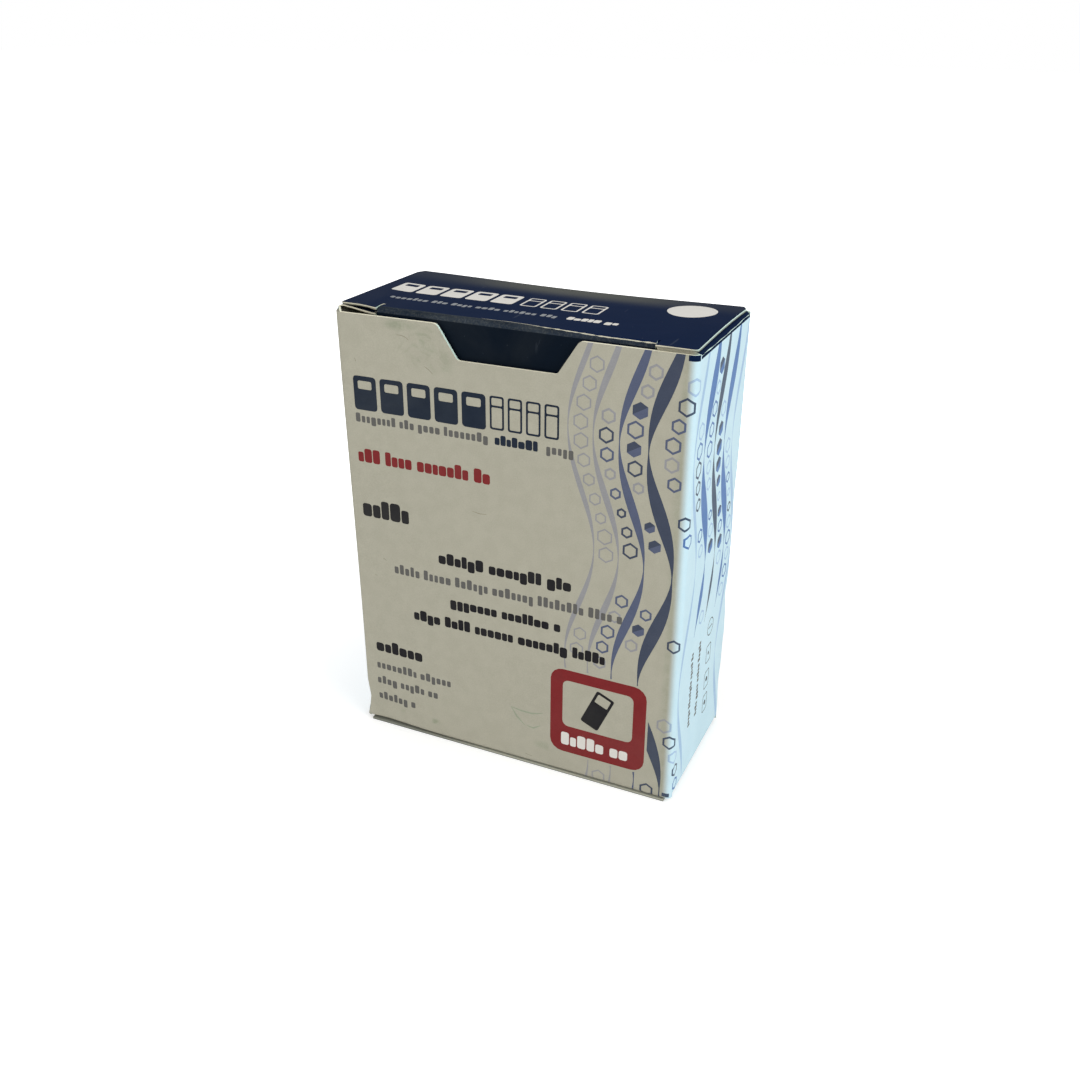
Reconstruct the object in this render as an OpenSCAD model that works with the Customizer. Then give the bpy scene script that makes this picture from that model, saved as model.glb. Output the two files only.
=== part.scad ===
// Carton of microscope slides: a folded and glued board box with a hinged
// lid that tucks in behind the front wall, filled with upright glass slides.
// The front faces -Y, the carton stands on z = 0 and x = 0 is its middle.

/* [Slides] */
// Number of slides in the carton
slide_count = 50; // [44:1:55]
// Length of a slide, which stands upright
slide_l = 75; // [60:0.5:95]
// Width of a slide
slide_w = 25; // [20:0.5:32]
// Thickness of a slide
slide_t = 1.1; // [1:0.05:1.4]
// Width of the 45 degree bevel ground along every edge of a slide
slide_bevel = 0.25; // [0.05:0.05:0.4]

/* [Board] */
// Thickness of the board
board_t = 0.45; // [0.3:0.05:0.6]
// Outside radius of every crease
crease_r = 1; // [0.8:0.1:1.4]
// Width of the glue flap behind the left edge of the back wall
glue_w = 12; // [8:0.5:18]
// Distance from the left side to the raw edge of the back wall
seam_inset = 0.5; // [0.2:0.1:0.6]
// How far the glue is squeezed out into a crease beside a glued face
glue_bead = 0.3; // [0.1:0.05:0.3]

/* [Play inside the carton] */
// Gap from one slide to the next
slide_gap = 0.09; // [0.02:0.01:0.2]
// Gap between the end slides and the side walls, or more where a crease needs it
side_play = 0.35; // [0.3:0.05:0.8]
// Gap between the slides and the glue flap
back_play = 0.1; // [0.05:0.05:0.6]
// Gap between the slides and the tuck flap
front_play = 0.25; // [0.2:0.05:0.8]
// Least gap between the tuck flap and the front wall while the lid opens
tuck_clear = 0.065; // [0.05:0.005:0.4]
// Least gap between the end slides' bevels and the creases at their feet
crease_clear = 0.05; // [0.02:0.01:0.2]
// Height left free above the slides
head_play = 2.65; // [1:0.05:6]

/* [Lid] */
// Gap between the top dust flaps and the lid
dust_gap = 0.1; // [0.05:0.05:0.4]
// Gap between the top edge of the front wall and the lid
front_gap = 0.35; // [0.1:0.05:0.8]
// Distance from the side of the carton to the side edge of the lid
lid_inset = 0.4; // [0.1:0.05:0.6]
// Distance from the front of the carton to the front edge of the lid's end tabs
tab_inset = 0.2; // [0:0.05:0.6]
// Distance from the side of the carton to each lock slit
slit_inset = 6.9; // [5:0.1:9]
// Width of the lock slits
slit_w = 0.3; // [0.2:0.05:0.6]
// How far the lock slits run on behind the crease
slit_run = 0.7; // [0.3:0.1:2]
// Size of the relief cut at the back corners of the lid
lid_relief = 1.2; // [0.6:0.1:2.5]

/* [Tuck flap] */
// Height of the tuck flap, from the top of the lid down
tuck_h = 10; // [8:0.5:10]
// Distance from the side of the carton to the side edge of the tuck flap
tuck_inset = 3; // [2.6:0.1:4.5]
// Radius of the lower corners of the tuck flap
tuck_corner_r = 4; // [1:0.5:5]
// Gap between the shoulders of the tuck flap and the top dust flaps above them
shoulder_gap = 0.4; // [0.2:0.1:1]

/* [Thumb notch] */
// Width of the notch at the top edge of the front wall
notch_top_w = 24.2; // [16:0.1:26]
// Width of the notch at its floor
notch_floor_w = 17; // [8:0.1:17]
// Depth of the notch
notch_d = 5.5; // [3:0.1:6.5]
// Radius of the corners beside the notch
notch_lip_r = 1.2; // [0.4:0.1:2]
// Radius of the corners in the floor of the notch
notch_floor_r = 0.9; // [0.3:0.1:1.5]

/* [Dust flaps and bottom] */
// Length of the top dust flaps, from the side of the carton
dust_l = 20; // [12:0.5:24]
// Length of the bottom dust flaps, from the side of the carton
base_dust_l = 23; // [12:0.5:25]
// How far the slanted edges of the dust flaps run in towards the tip
dust_slant = 2.5; // [1:0.1:4]
// Radius of the corners of the dust flaps
dust_corner_r = 2; // [0.5:0.1:3]
// Gap between the top dust flaps and the tuck flap
dust_play = 0.3; // [0.2:0.05:0.8]
// Distance from the front of the carton to the raw edge of the outer bottom flap
base_edge_inset = 0.15; // [0:0.05:0.6]
// How much each side of the two glued bottom flaps draws in towards the free edge
base_taper = 0.3; // [0.1:0.1:2]

/* [Hidden] */
$fn = 48;

// Names of the slides, from left to right
SLIDES = [for (i = [1 : slide_count]) str("slide_", i < 10 ? "0" : "", i)];

// Distance between the fold lines at the back and the front of the lid
fold_span = slide_w + back_play + front_play + 3 * board_t - 2 * crease_r
          + (2 * crease_r - board_t) * cos(45);
// The tuck flap turns at half the lid's angle, and so bulges forward by this
// much halfway out: it starts this far and the least gap behind the front wall,
// rounded up to a whole step
tuck_swing = pow(tuck_h, 2) / (8 * fold_span);
play_step = 0.01;
tuck_play = play_step * ceil((tuck_clear + tuck_swing) / play_step);
// Gap between the end slides and the side walls
side_gap = max(side_play, crease_r - board_t - slide_bevel + crease_clear);

// Outside size of the carton, which follows from what it holds
stack_w = slide_count * slide_t + (slide_count - 1) * slide_gap;
carton_w = stack_w + 2 * side_gap + 2 * board_t;
carton_d = slide_w + back_play + front_play + tuck_play + 4 * board_t;
carton_h = slide_l + head_play + dust_gap + 5 * board_t;

// Outer faces of the walls
x_side = carton_w / 2;
y_front = -carton_d / 2;
y_back = carton_d / 2;

// Ends of the straight part of each wall, where the corner creases begin
x_end = x_side - crease_r;
y_end = y_back - crease_r;

// Layers of the bottom: outer flap, inner flap and dust flaps
z_inner_flap = board_t;
z_base_dust = 2 * board_t;
z_floor = 3 * board_t;

// Levels at the top
z_lid = carton_h - board_t;
z_dust = z_lid - dust_gap - board_t;
z_front_top = z_lid - front_gap;
z_fold = carton_h - crease_r;
z_shoulder = z_dust - shoulder_gap;

// Tuck flap: outer face, width, and the middle of the crease above it
y_tuck = y_front + board_t + tuck_play;
x_tuck = x_side - tuck_inset;
y_fold = y_tuck + crease_r;
x_slit = x_side - slit_inset;
x_fold = x_slit - slit_w / 2;

// The bottom flaps meet the far walls with this gap
flap_gap = 0.6;
// Play between the lid's crease and the carton's corner creases
crease_play = 0.1;
// The glue flap's slanted ends
glue_slant = 4;
// Cutters run past the board by this much
over = 1;

// Extrudes a YZ profile along X, an XZ profile along Y and a plan along Z
module along_x(x0, x1) {
    translate([x0, 0, 0]) rotate([90, 0, 90]) linear_extrude(x1 - x0) children();
}
module along_y(y0, y1) {
    translate([0, y1, 0]) rotate([90, 0, 0]) linear_extrude(y1 - y0) children();
}
module along_z(z0, z1) {
    translate([0, 0, z0]) linear_extrude(z1 - z0) children();
}

// A rectangle between two corners
module span(low, high) {
    translate(low) square(high - low);
}

// Section of a crease: board bent round a centre, from angle a0 to angle a1
module bend(centre, a0, a1) {
    reach = 2 * crease_r;
    translate(centre) intersection() {
        difference() {
            circle(crease_r);
            circle(crease_r - board_t);
        }
        polygon(concat([[0, 0]], [for (a = [a0, (a0 + a1) / 2, a1]) reach * [cos(a), sin(a)]]));
    }
}

// The area between a corner and an arc that touches both of its edges.
// Taken off a corner it rounds it, and added to a re-entrant corner it fills it.
module fillet(corner, to_a, to_b, r) {
    a = (to_a - corner) / norm(to_a - corner);
    b = (to_b - corner) / norm(to_b - corner);
    half = acos(a * b) / 2;
    centre = corner + (a + b) / norm(a + b) * r / sin(half);
    difference() {
        polygon([corner, corner + a * r / tan(half), centre, corner + b * r / tan(half)]);
        translate(centre) circle(r);
    }
}

// A polygon whose corners are rounded where radii gives more than 0
module rounded(points, radii) {
    n = len(points);
    difference() {
        polygon(points);
        for (i = [0 : n - 1]) if (radii[i] > 0)
            fillet(points[i], points[(i + n - 1) % n], points[(i + 1) % n], radii[i]);
    }
}

// Both mirror images of a shape about x = 0
module both_sides() {
    children();
    mirror([1, 0, 0]) children();
}

// Trapezoid of the thumb notch, with its floor rounded and its lips flared
module notch_outline() {
    lip = [notch_top_w / 2, z_front_top];
    foot = [notch_floor_w / 2, z_front_top - notch_d];
    difference() {
        polygon([[-lip.x, lip.y + over], [-lip.x, lip.y], [-foot.x, foot.y],
                 foot, lip, [lip.x, lip.y + over]]);
        both_sides() fillet(foot, lip, [0, foot.y], notch_floor_r);
    }
    both_sides() fillet(lip, foot, [x_side, lip.y], notch_lip_r);
}

// Front wall with its notch, and the inner bottom flap that folds in from it
module front_panel() {
    difference() {
        along_x(-x_end, x_end) {
            span([y_front, z_inner_flap + crease_r], [y_front + board_t, z_front_top]);
            bend([y_front + crease_r, z_inner_flap + crease_r], 180, 270);
        }
        along_y(y_front - over, y_front + board_t + over) notch_outline();
    }
    x_tip = x_end - base_taper;
    y_tip = y_back - board_t - flap_gap;
    along_x(-x_tip, x_tip)
        span([-y_end - glue_bead, board_t], [-y_end, z_inner_flap + board_t / 2]);
    along_z(z_inner_flap, z_base_dust)
        polygon([[-x_end, -y_end], [x_end, -y_end], [x_tip, y_tip], [-x_tip, y_tip]]);
}

// Back wall with half of the lid's crease, its raw edge over the glue flap,
// and the outer bottom flap that folds in from it
module back_panel() {
    along_x(-x_end, x_end) {
        span([y_back - board_t, crease_r], [y_back, z_fold]);
        bend([y_end, crease_r], 270, 360);
    }
    along_x(-x_end + crease_play, x_end - crease_play) bend([y_end, z_fold], 0, 45);
    along_x(seam_inset - x_side, -x_end)
        span([y_back - board_t, z_floor], [y_back, z_front_top]);
    along_x(-x_end - glue_bead, -x_end)
        span([y_back - 1.5 * board_t, z_floor], [y_back - board_t, z_front_top]);
    x_tip = x_end - base_taper;
    y_tip = y_front + base_edge_inset;
    along_z(0, board_t)
        polygon([[-x_end, y_end], [x_end, y_end], [x_tip, y_tip], [-x_tip, y_tip]]);
}

// Plan of the right top dust flap on a wall that ends at y1: its front corner
// stands forward beside the tuck flap, and the rest of its front edge stays behind it
module top_dust_outline(y1) {
    x_step = x_tuck + dust_play;
    x_tip = x_side - dust_l;
    y_step = y_tuck + board_t + dust_play;
    x_heel = x_end - dust_slant;
    rounded([[x_end, -y_end], [x_end, y1], [x_heel, y1], [x_tip, y1 - dust_slant],
             [x_tip, y_step + dust_slant], [x_heel - dust_slant, y_step], [x_step, y_step],
             [x_step, -y_end]],
            [0, 0, 0, dust_corner_r, dust_corner_r, 0, 0, 0]);
}

// Plan of the right bottom dust flap on a wall that ends at y1
module base_dust_outline(y1) {
    x_tip = x_side - base_dust_l;
    rounded([[x_end, -y_end], [x_end, y1], [x_tip, y1 - dust_slant],
             [x_tip, dust_slant - y_end]],
            [0, 0, dust_corner_r, dust_corner_r]);
}

// Right side wall up to y1, with the creases and dust flaps at its two ends
module side_panel(y1) {
    z_high = z_dust + board_t - crease_r;
    z_low = z_base_dust + crease_r;
    along_y(-y_end, y1) {
        span([x_side - board_t, z_low], [x_side, z_high]);
        bend([x_end, z_high], 0, 90);
        bend([x_end, z_low], 270, 360);
    }
    along_z(z_dust, z_dust + board_t) top_dust_outline(y1);
    along_z(z_base_dust, z_floor) base_dust_outline(y1);
}

// Upright corner creases, the last of which leads into the glue flap
module corner_creases() {
    along_z(z_base_dust, z_front_top) {
        bend([x_end, -y_end], 270, 360);
        bend([-x_end, -y_end], 180, 270);
        bend([x_end, y_end], 0, 90);
    }
    along_z(z_floor, z_front_top) bend([-x_end, y_end - board_t], 90, 180);
}

// Glue flap inside the left edge of the back wall
module glue_flap() {
    x_tip = glue_w - x_side;
    along_y(y_back - 2 * board_t, y_back - board_t)
        polygon([[-x_end, z_floor], [x_tip, z_floor + glue_slant],
                 [x_tip, z_dust - glue_slant], [-x_end, z_dust]]);
}

// The folded and glued blank, without its lid
module carton() {
    color("#c3c0b1") {
        front_panel();
        back_panel();
        side_panel(y_end);
        mirror([1, 0, 0]) side_panel(y_end - board_t);
        corner_creases();
        glue_flap();
    }
}

// Plan of the lid: relief cuts behind, end tabs and lock slits in front
module lid_outline() {
    x_lid = x_side - lid_inset;
    x_hinge = x_end - crease_play;
    y_tab = y_front + tab_inset;
    y_slit = y_fold + slit_run;
    x_tab = x_slit + slit_w / 2;
    right = [[x_hinge, y_end], [x_lid, y_end - lid_relief], [x_lid, y_tab], [x_tab, y_tab],
             [x_tab, y_slit], [x_fold, y_slit], [x_fold, y_fold]];
    left = [for (i = [len(right) - 1 : -1 : 0]) [-right[i].x, right[i].y]];
    radii = [0, 0, crease_r / 2, 0, 0, 0, 0];
    rounded(concat(right, left), concat(radii, [for (i = [6 : -1 : 0]) radii[i]]));
}

// Lid, with half of the crease at each end
module lid() {
    x_hinge = x_end - crease_play;
    color("#1b2c4d") {
        along_z(z_lid, carton_h) lid_outline();
        along_x(-x_hinge, x_hinge) bend([y_end, z_fold], 45, 90);
        along_x(-x_fold, x_fold) bend([y_fold, z_fold], 90, 135);
    }
}

// Flap that tucks in behind the front wall, with shoulders beyond the lock slits
module tuck_flap() {
    z_tip = carton_h - tuck_h;
    color("#131c2b") {
        along_x(-x_fold, x_fold) bend([y_fold, z_fold], 135, 180);
        along_y(y_tuck, y_tuck + board_t)
            rounded([[-x_fold, z_fold], [-x_fold, z_shoulder], [-x_tuck, z_shoulder],
                     [-x_tuck, z_tip], [x_tuck, z_tip], [x_tuck, z_shoulder],
                     [x_fold, z_shoulder], [x_fold, z_fold]],
                    [0, 0, crease_r / 2, tuck_corner_r, tuck_corner_r, crease_r / 2, 0, 0]);
    }
}

// A rectangle centred on its first axis, with its four corners bevelled
module bevelled(w, h) {
    b = slide_bevel;
    polygon([[b - w / 2, 0], [w / 2 - b, 0], [w / 2, b], [w / 2, h - b],
             [w / 2 - b, h], [b - w / 2, h], [-w / 2, h - b], [-w / 2, b]]);
}

// One slide, the i-th from the left, on the dust flap or beside it on the inner flap
module slide(i) {
    x = -stack_w / 2 + slide_t / 2 + (i - 1) * (slide_t + slide_gap);
    on_dust_flap = abs(x) + slide_t / 2 > x_side - base_dust_l;
    z = on_dust_flap ? z_floor : z_base_dust;
    y0 = y_tuck + board_t + front_play;
    color("#cfe6df") translate([x, y0, z]) intersection() {
        along_y(0, slide_w) bevelled(slide_t, slide_l);
        along_z(0, slide_l) bevelled(slide_t, slide_w);
    }
}

carton();
lid();
tuck_flap();
for (i = [1 : slide_count]) slide(i);
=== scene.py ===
import math
import random

import bpy
from bpy.props import FloatProperty, FloatVectorProperty, PointerProperty
from mathutils import Matrix, Vector, noise
from mathutils.geometry import delaunay_2d_cdt


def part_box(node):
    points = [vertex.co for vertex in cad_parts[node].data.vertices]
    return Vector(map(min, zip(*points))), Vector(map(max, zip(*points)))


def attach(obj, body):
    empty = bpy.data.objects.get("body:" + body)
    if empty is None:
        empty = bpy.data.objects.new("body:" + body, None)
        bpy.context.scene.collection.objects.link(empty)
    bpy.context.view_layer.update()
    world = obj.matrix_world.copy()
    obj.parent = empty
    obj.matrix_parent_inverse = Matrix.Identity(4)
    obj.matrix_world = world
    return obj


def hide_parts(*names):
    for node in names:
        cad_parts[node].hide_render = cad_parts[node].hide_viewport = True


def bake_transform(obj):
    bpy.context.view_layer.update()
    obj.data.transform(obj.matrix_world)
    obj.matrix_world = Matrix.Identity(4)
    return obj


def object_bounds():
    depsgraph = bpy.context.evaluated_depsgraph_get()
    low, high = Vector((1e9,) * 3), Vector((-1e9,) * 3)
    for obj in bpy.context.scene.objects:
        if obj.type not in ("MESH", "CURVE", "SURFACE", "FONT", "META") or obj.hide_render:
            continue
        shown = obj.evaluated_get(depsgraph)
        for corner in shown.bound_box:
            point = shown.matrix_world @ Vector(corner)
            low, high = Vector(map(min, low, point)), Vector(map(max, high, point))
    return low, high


bl_info = {
    "name": "Microscope Slide Carton",
    "version": (1, 0, 0),
    "blender": (4, 5, 0),
    "location": "View3D > Sidebar > Slide Carton",
    "description": "Dresses a folded board carton of microscope slides: printed board, glass and stage",
    "category": "Object",
}

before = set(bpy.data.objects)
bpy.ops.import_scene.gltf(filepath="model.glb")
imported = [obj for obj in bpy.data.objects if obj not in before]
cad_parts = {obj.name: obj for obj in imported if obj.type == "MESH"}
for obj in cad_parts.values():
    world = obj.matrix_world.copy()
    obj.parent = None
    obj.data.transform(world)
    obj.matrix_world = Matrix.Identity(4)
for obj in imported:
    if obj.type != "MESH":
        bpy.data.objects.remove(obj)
CAD_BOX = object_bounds()

# Sheets are laid out and folded in millimetres, and their meshes are in metres
MM = 0.001
SLIDES = sorted(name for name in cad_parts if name.startswith("slide_"))


def node_box(name):
    """Lowest and highest corner of a node, in millimetres."""
    low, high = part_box(name)
    return low / MM, high / MM


# ---------------------------------------------------------------- settings


def length(label, text, default):
    """A length property whose default is given in millimetres."""
    return FloatProperty(name=label, description=text, default=default * MM, min=0,
                         subtype="DISTANCE", unit="LENGTH")


def colour(label, text, red, green, blue):
    """A colour property whose default is given in 0 to 255 display values."""
    linear = [((c / 255 + 0.055) / 1.055) ** 2.4 if c > 10 else c / 255 / 12.92 for c in (red, green, blue)]
    return FloatVectorProperty(name=label, description=text, default=linear, min=0, max=1, size=3,
                               subtype="COLOR")


class BoardSettings(bpy.types.PropertyGroup):
    """Sizes of the carton's board, as the construction has them."""
    thickness: length("Thickness", "Thickness of the board", 0.45)
    glue_film: length("Glue film", "Gap left between two glued layers", 0.02)
    crease_radius: length("Crease radius", "Outside radius of every crease", 1.0)
    kerf: length("Kerf", "Half the width of a knife cut", 0.03)
    dust_gap: length("Dust gap", "Gap between the top dust flaps and the lid", 0.1)
    front_gap: length("Front gap", "Gap between the front wall and the lid", 0.35)
    seam_inset: length("Seam inset", "From the left side to the raw edge of the back wall", 0.5)
    glue_width: length("Glue width", "Width of the glue flap", 12)
    glue_slant: length("Glue slant", "Slant of the glue flap's ends", 4)
    dust_length: length("Dust length", "Length of the top dust flaps", 20)
    base_dust_length: length("Base dust length", "Length of the bottom dust flaps", 23)
    dust_slant: length("Dust slant", "Slant of the dust flaps' edges", 2.5)
    dust_corner: length("Dust corner", "Radius of the dust flaps' corners", 2)
    dust_play: length("Dust play", "Gap between the top dust flaps and the tuck flap", 0.3)
    base_taper: length("Base taper", "How much the glued bottom flaps draw in", 0.3)
    base_inset: length("Base inset", "From the front to the outer bottom flap's edge", 0.15)
    flap_gap: length("Flap gap", "Gap between the inner bottom flap and the back wall", 0.6)
    notch_top: length("Notch top", "Width of the thumb notch at its top", 24.2)
    notch_floor: length("Notch floor", "Width of the thumb notch at its floor", 17)
    notch_depth: length("Notch depth", "Depth of the thumb notch", 5.5)
    notch_lip: length("Notch lip", "Radius of the corners beside the notch", 1.2)
    notch_floor_radius: length("Notch floor radius", "Radius of the notch's lower corners", 0.9)
    lid_relief: length("Lid relief", "Size of the cuts at the lid's back corners", 1.2)
    crease_play: length("Crease play", "Play between the lid's crease and the corner creases", 0.1)
    slit_inset: length("Slit inset", "From the carton's side to each lock slit", 6.9)
    slit_width: length("Slit width", "Width of the lock slits", 0.3)
    slit_run: length("Slit run", "How far the lock slits run behind the crease", 0.7)
    shoulder_gap: length("Shoulder gap", "Gap over the tuck flap's shoulders", 0.4)
    tuck_corner: length("Tuck corner", "Radius of the tuck flap's lower corners", 4)


class PrintSettings(bpy.types.PropertyGroup):
    """Colours of the board and of the inks on it."""
    # Front and side are one white board: painted warm shade on the front and back, painted cool light on the
    # sides
    front: colour("Front", "Ground colour of the front and back", 173, 170, 153)
    side: colour("Side", "Ground colour of the two sides", 203, 232, 242)
    navy: colour("Navy", "Lid and dust flaps", 15, 31, 60)
    navy_shade: colour("Navy shade", "Tuck flap", 13, 22, 33)
    navy_worn: colour("Worn navy", "Rubbed ink on the crease above the tuck flap", 40, 49, 61)
    # Painted reflection of the lid's sheen along its back crease, mixed with rubbed ink; also the grains of
    # rubbed ink on the worn crease
    sheen_and_wear: colour("Haze", "Rubbed ink along the lid's back crease", 100, 101, 92)
    heading: colour("Heading", "Heading on the front", 33, 42, 56)
    text: colour("Text", "Bold greeked lines", 34, 33, 36)
    fine_text: colour("Fine text", "Light greeked lines", 98, 97, 94)
    red: colour("Red", "Sign and address line", 124, 38, 40)
    white: colour("White", "Print left white on the lid", 222, 219, 212)
    white_fine: colour("Fine white", "Light greeked line on the lid", 138, 142, 146)
    slate: colour("Slate", "Dark waves on the front", 84, 92, 116)
    slate_deep: colour("Deep slate", "Shaded half of the waves", 62, 70, 88)
    pale: colour("Pale", "Pale waves on the front", 146, 146, 148)
    # The sides' wave inks are the front's, in the same painted cool light
    blue: colour("Blue", "Waves on the sides", 84, 124, 180)
    pale_blue: colour("Pale blue", "Pale waves on the sides", 166, 198, 226)
    slate_side: colour("Side slate", "Dark waves on the sides", 66, 84, 106)
    # Bare fibres; also a painted highlight along the right dust flap's crease
    wear_and_highlight: colour("Wear", "Board fibres laid bare", 196, 192, 172)
    green: colour("Green", "Smeared green mark", 150, 158, 138)
    smudge: colour("Smudge", "Finger marks on the front", 140, 146, 124)
    scuff: colour("Scuff", "Fine scratches on the front", 142, 138, 120)
    raw_front: colour("Raw edge", "Cut edges of the board", 244, 239, 214)
    # The mint side edges are the raw edge's cream in painted cool light
    raw_side: colour("Raw side edge", "Cut edges towards the sides", 212, 238, 228)
    inside: colour("Inside", "Unprinted back of the board", 190, 186, 170)


class GlassSettings(bpy.types.PropertyGroup):
    """Sizes and colours of the slides."""
    tint: colour("Tint", "Colour of the glass", 226, 242, 236)
    ground: colour("Ground", "Colour of the ground edges", 206, 228, 218)
    coat: colour("Coat", "White coating of the marking area", 232, 232, 226)
    coat_length: length("Coat length", "Height of the marking area", 20)
    coat_thickness: length("Coat thickness", "Thickness of the coating", 0.03)
    coat_margin: length("Coat margin", "Clear edge round the coating", 0.4)


class StageSettings(bpy.types.PropertyGroup):
    """Camera, lamps and floor."""
    lens: FloatProperty(name="Lens", description="Focal length of the camera", default=37.966,
                        unit="CAMERA")
    azimuth: FloatProperty(name="Azimuth", description="Camera's turn round the carton",
                           default=math.radians(24.599), subtype="ANGLE")
    elevation: FloatProperty(name="Elevation", description="Camera's height above the horizon",
                             default=math.radians(25.984), subtype="ANGLE")
    roll: FloatProperty(name="Roll", description="Camera's roll", default=math.radians(0.227),
                        subtype="ANGLE")
    target: FloatVectorProperty(name="Target", description="Point that the camera looks at", size=3,
                                default=(-0.000542, 0, 0.037853), subtype="TRANSLATION", unit="LENGTH")
    distance: length("Distance", "From the camera to its target", 201.72)
    world: FloatProperty(name="Fill", description="Strength of the light from all round", default=0.5)
    key: FloatProperty(name="Key", description="Power of the lamp on the right", default=1.13,
                       unit="POWER")
    front: FloatProperty(name="Front", description="Power of the lamp in front", default=1.05, unit="POWER")
    top: FloatProperty(name="Top", description="Power of the lamp above", default=0.57, unit="POWER")
    floor: colour("Floor", "Colour of the floor", 236, 236, 236)
    floor_glow: FloatProperty(name="Floor glow", default=0.35,
                              description="White added to the floor, as the camera sees it")
    glow_start: length("Glow start", "Distance at which the floor's glow begins to grow", 25)
    glow_end: length("Glow end", "Distance at which the floor's glow is full", 150)


# ---------------------------------------------------------------- places


class Plan:
    """Places on the folded carton and lengths on its flat blank, in millimetres."""

    SAG, SAG_MIDDLE, SAG_REACH, SAG_START = 0.44, 2, 34, 4.0    # depth, middle and reach in X, start in Y
    DROP, DROP_REACH = 0.28, 20                                 # depth, and reach from the middle
    FAR = 1000                                                  # a level that the blank doesn't reach

    def __init__(self, board):
        for name in BoardSettings.__annotations__:
            setattr(self, name, getattr(board, name) / MM)
        low, high = node_box("carton")
        lid_low, lid_high = node_box("lid")
        tuck_low, tuck_high = node_box("tuck_flap")
        r = self.crease_radius
        self.quarter = r * math.pi / 2
        self.x_side, self.y_front, self.y_back = high.x, low.y, high.y
        self.x_end, self.y_end = self.x_side - r, self.y_back - r
        self.height = lid_high.z
        self.z_fold = self.height - r
        self.z_lid = self.height - self.thickness
        self.z_dust_top = self.z_lid - self.dust_gap
        self.z_front_top = self.z_lid - self.front_gap
        self.x_lid, self.y_tab = lid_high.x, lid_low.y
        self.x_tuck, self.y_tuck, self.z_tip = tuck_high.x, tuck_low.y, tuck_low.z
        self.y_fold = self.y_tuck + r
        self.z_shoulder = self.z_dust_top - self.thickness - self.shoulder_gap
        self.x_slit = self.x_side - self.slit_inset
        self.x_fold = self.x_slit - self.slit_width / 2
        self.z_base = 2 * self.thickness
        self.z_floor = 3 * self.thickness
        # Levels at which each wall's bottom and top creases begin
        self.front_low = self.thickness + r
        self.side_low = self.z_base + r
        self.side_high = self.z_dust_top - r
        self.back_low = r
        # Stretches of the blank, along the walls from the middle of the front
        self.u_right = self.x_end + self.quarter
        self.u_right_end = self.u_right + 2 * self.y_end
        self.u_back = self.u_right_end + self.quarter
        self.u_back_end = self.u_back + 2 * self.x_end
        self.u_seam = self.u_back_end + r - self.seam_inset
        self.u_left_end = self.u_right + 2 * self.y_end - self.thickness
        self.u_glue = self.u_left_end + self.quarter
        self.u_glue_end = self.u_glue + self.glue_width - r
        self.right_path = [(self.x_end, 0, "front"), (self.quarter, 1, "corner"),
                           (2 * self.y_end, 0, "side"), (self.quarter, 1, "corner"),
                           (2 * self.x_end + r, 0, "back")]
        self.left_path = [(self.x_end, 0, "front"), (self.quarter, 1, "corner"),
                          (2 * self.y_end - self.thickness, 0, "side"), (self.quarter, 1, "corner"),
                          (self.glue_width, 0, "glue")]
        # Levels between which each wall stands straight
        self.levels = {"front": (self.front_low, self.FAR), "side": (self.side_low, self.side_high),
                       "back": (self.back_low, self.z_fold), "corner": (-self.FAR, self.FAR),
                       "glue": (-self.FAR, self.FAR)}

    def along_walls(self, u):
        """Plan position, outward normal and kind of wall at u along the blank."""
        side = 1 if u >= 0 else -1
        left = abs(u)
        spot, out, kind = Vector((0, self.y_front, 0)), Vector((0, -1, 0)), "front"
        for stretch, turns, kind in self.right_path if side > 0 else self.left_path:
            step = min(left, stretch)
            if turns:
                centre = spot - out * self.crease_radius
                out = Matrix.Rotation(side * step / self.crease_radius, 3, "Z") @ out
                spot = centre + out * self.crease_radius
            else:
                spot = spot + Vector((-out.y, out.x, 0)) * side * step
            left -= step
            if left <= 1e-6:
                break
        return spot, out, kind

    def bent(self, spot, out, tangent, past, way):
        """Place and normal past the start of a crease that turns a wall inwards, up or down."""
        r = self.crease_radius
        angle = min(past, self.quarter) / r
        flat = max(0, past - self.quarter)
        up = Vector((0, 0, way))
        normal = out * math.cos(angle) + up * math.sin(angle)
        place = spot - out * r + normal * r - out * flat
        return place, normal, tangent

    def fold_carton(self, u, v):
        """Place, normal and tangent on the folded carton of a point of the flat blank."""
        spot, out, kind = self.along_walls(u)
        tangent = Vector((-out.y, out.x, 0))
        low, high = self.levels[kind]
        if v > high:
            return self.bent(spot + Vector((0, 0, high)), out, tangent, v - high, 1)
        if v < low:
            return self.bent(spot + Vector((0, 0, low)), out, tangent, low - v, -1)
        return spot + Vector((0, 0, v)), out, tangent

    def fold_lid(self, u, v):
        """The same for the lid, whose blank runs on from the back wall, with u to the left."""
        spot = Vector((-u, self.y_back, self.z_fold))
        return self.bent(spot, Vector((0, 1, 0)), Vector((-1, 0, 0)), v, 1)

    def fold_tuck(self, u, v):
        """The same for the tuck flap, whose blank runs on from the front of the lid."""
        r = self.crease_radius
        angle = min(v, self.quarter) / r
        normal = Vector((0, -math.sin(angle), math.cos(angle)))
        place = Vector((-u, self.y_fold, self.z_fold)) + normal * r
        place.z -= max(0, v - self.quarter)
        return place, normal, Vector((-1, 0, 0))

    def sag(self, x, y):
        """How far the lid and the dust flaps have sunk towards the middle of the back crease."""
        along = 1 - smooth(0, self.SAG_REACH, abs(x - self.SAG_MIDDLE))
        return self.SAG * along * smooth(self.SAG_START, self.y_end, y)

    def drop(self, x):
        """How far the top of the front wall has settled, at its left."""
        return self.DROP * (1 - smooth(0, self.DROP_REACH, x))

    # Flat places of points that are easier to give on the folded carton

    def on_side(self, y, z):
        return Vector((self.u_right + y + self.y_end, z))

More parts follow.
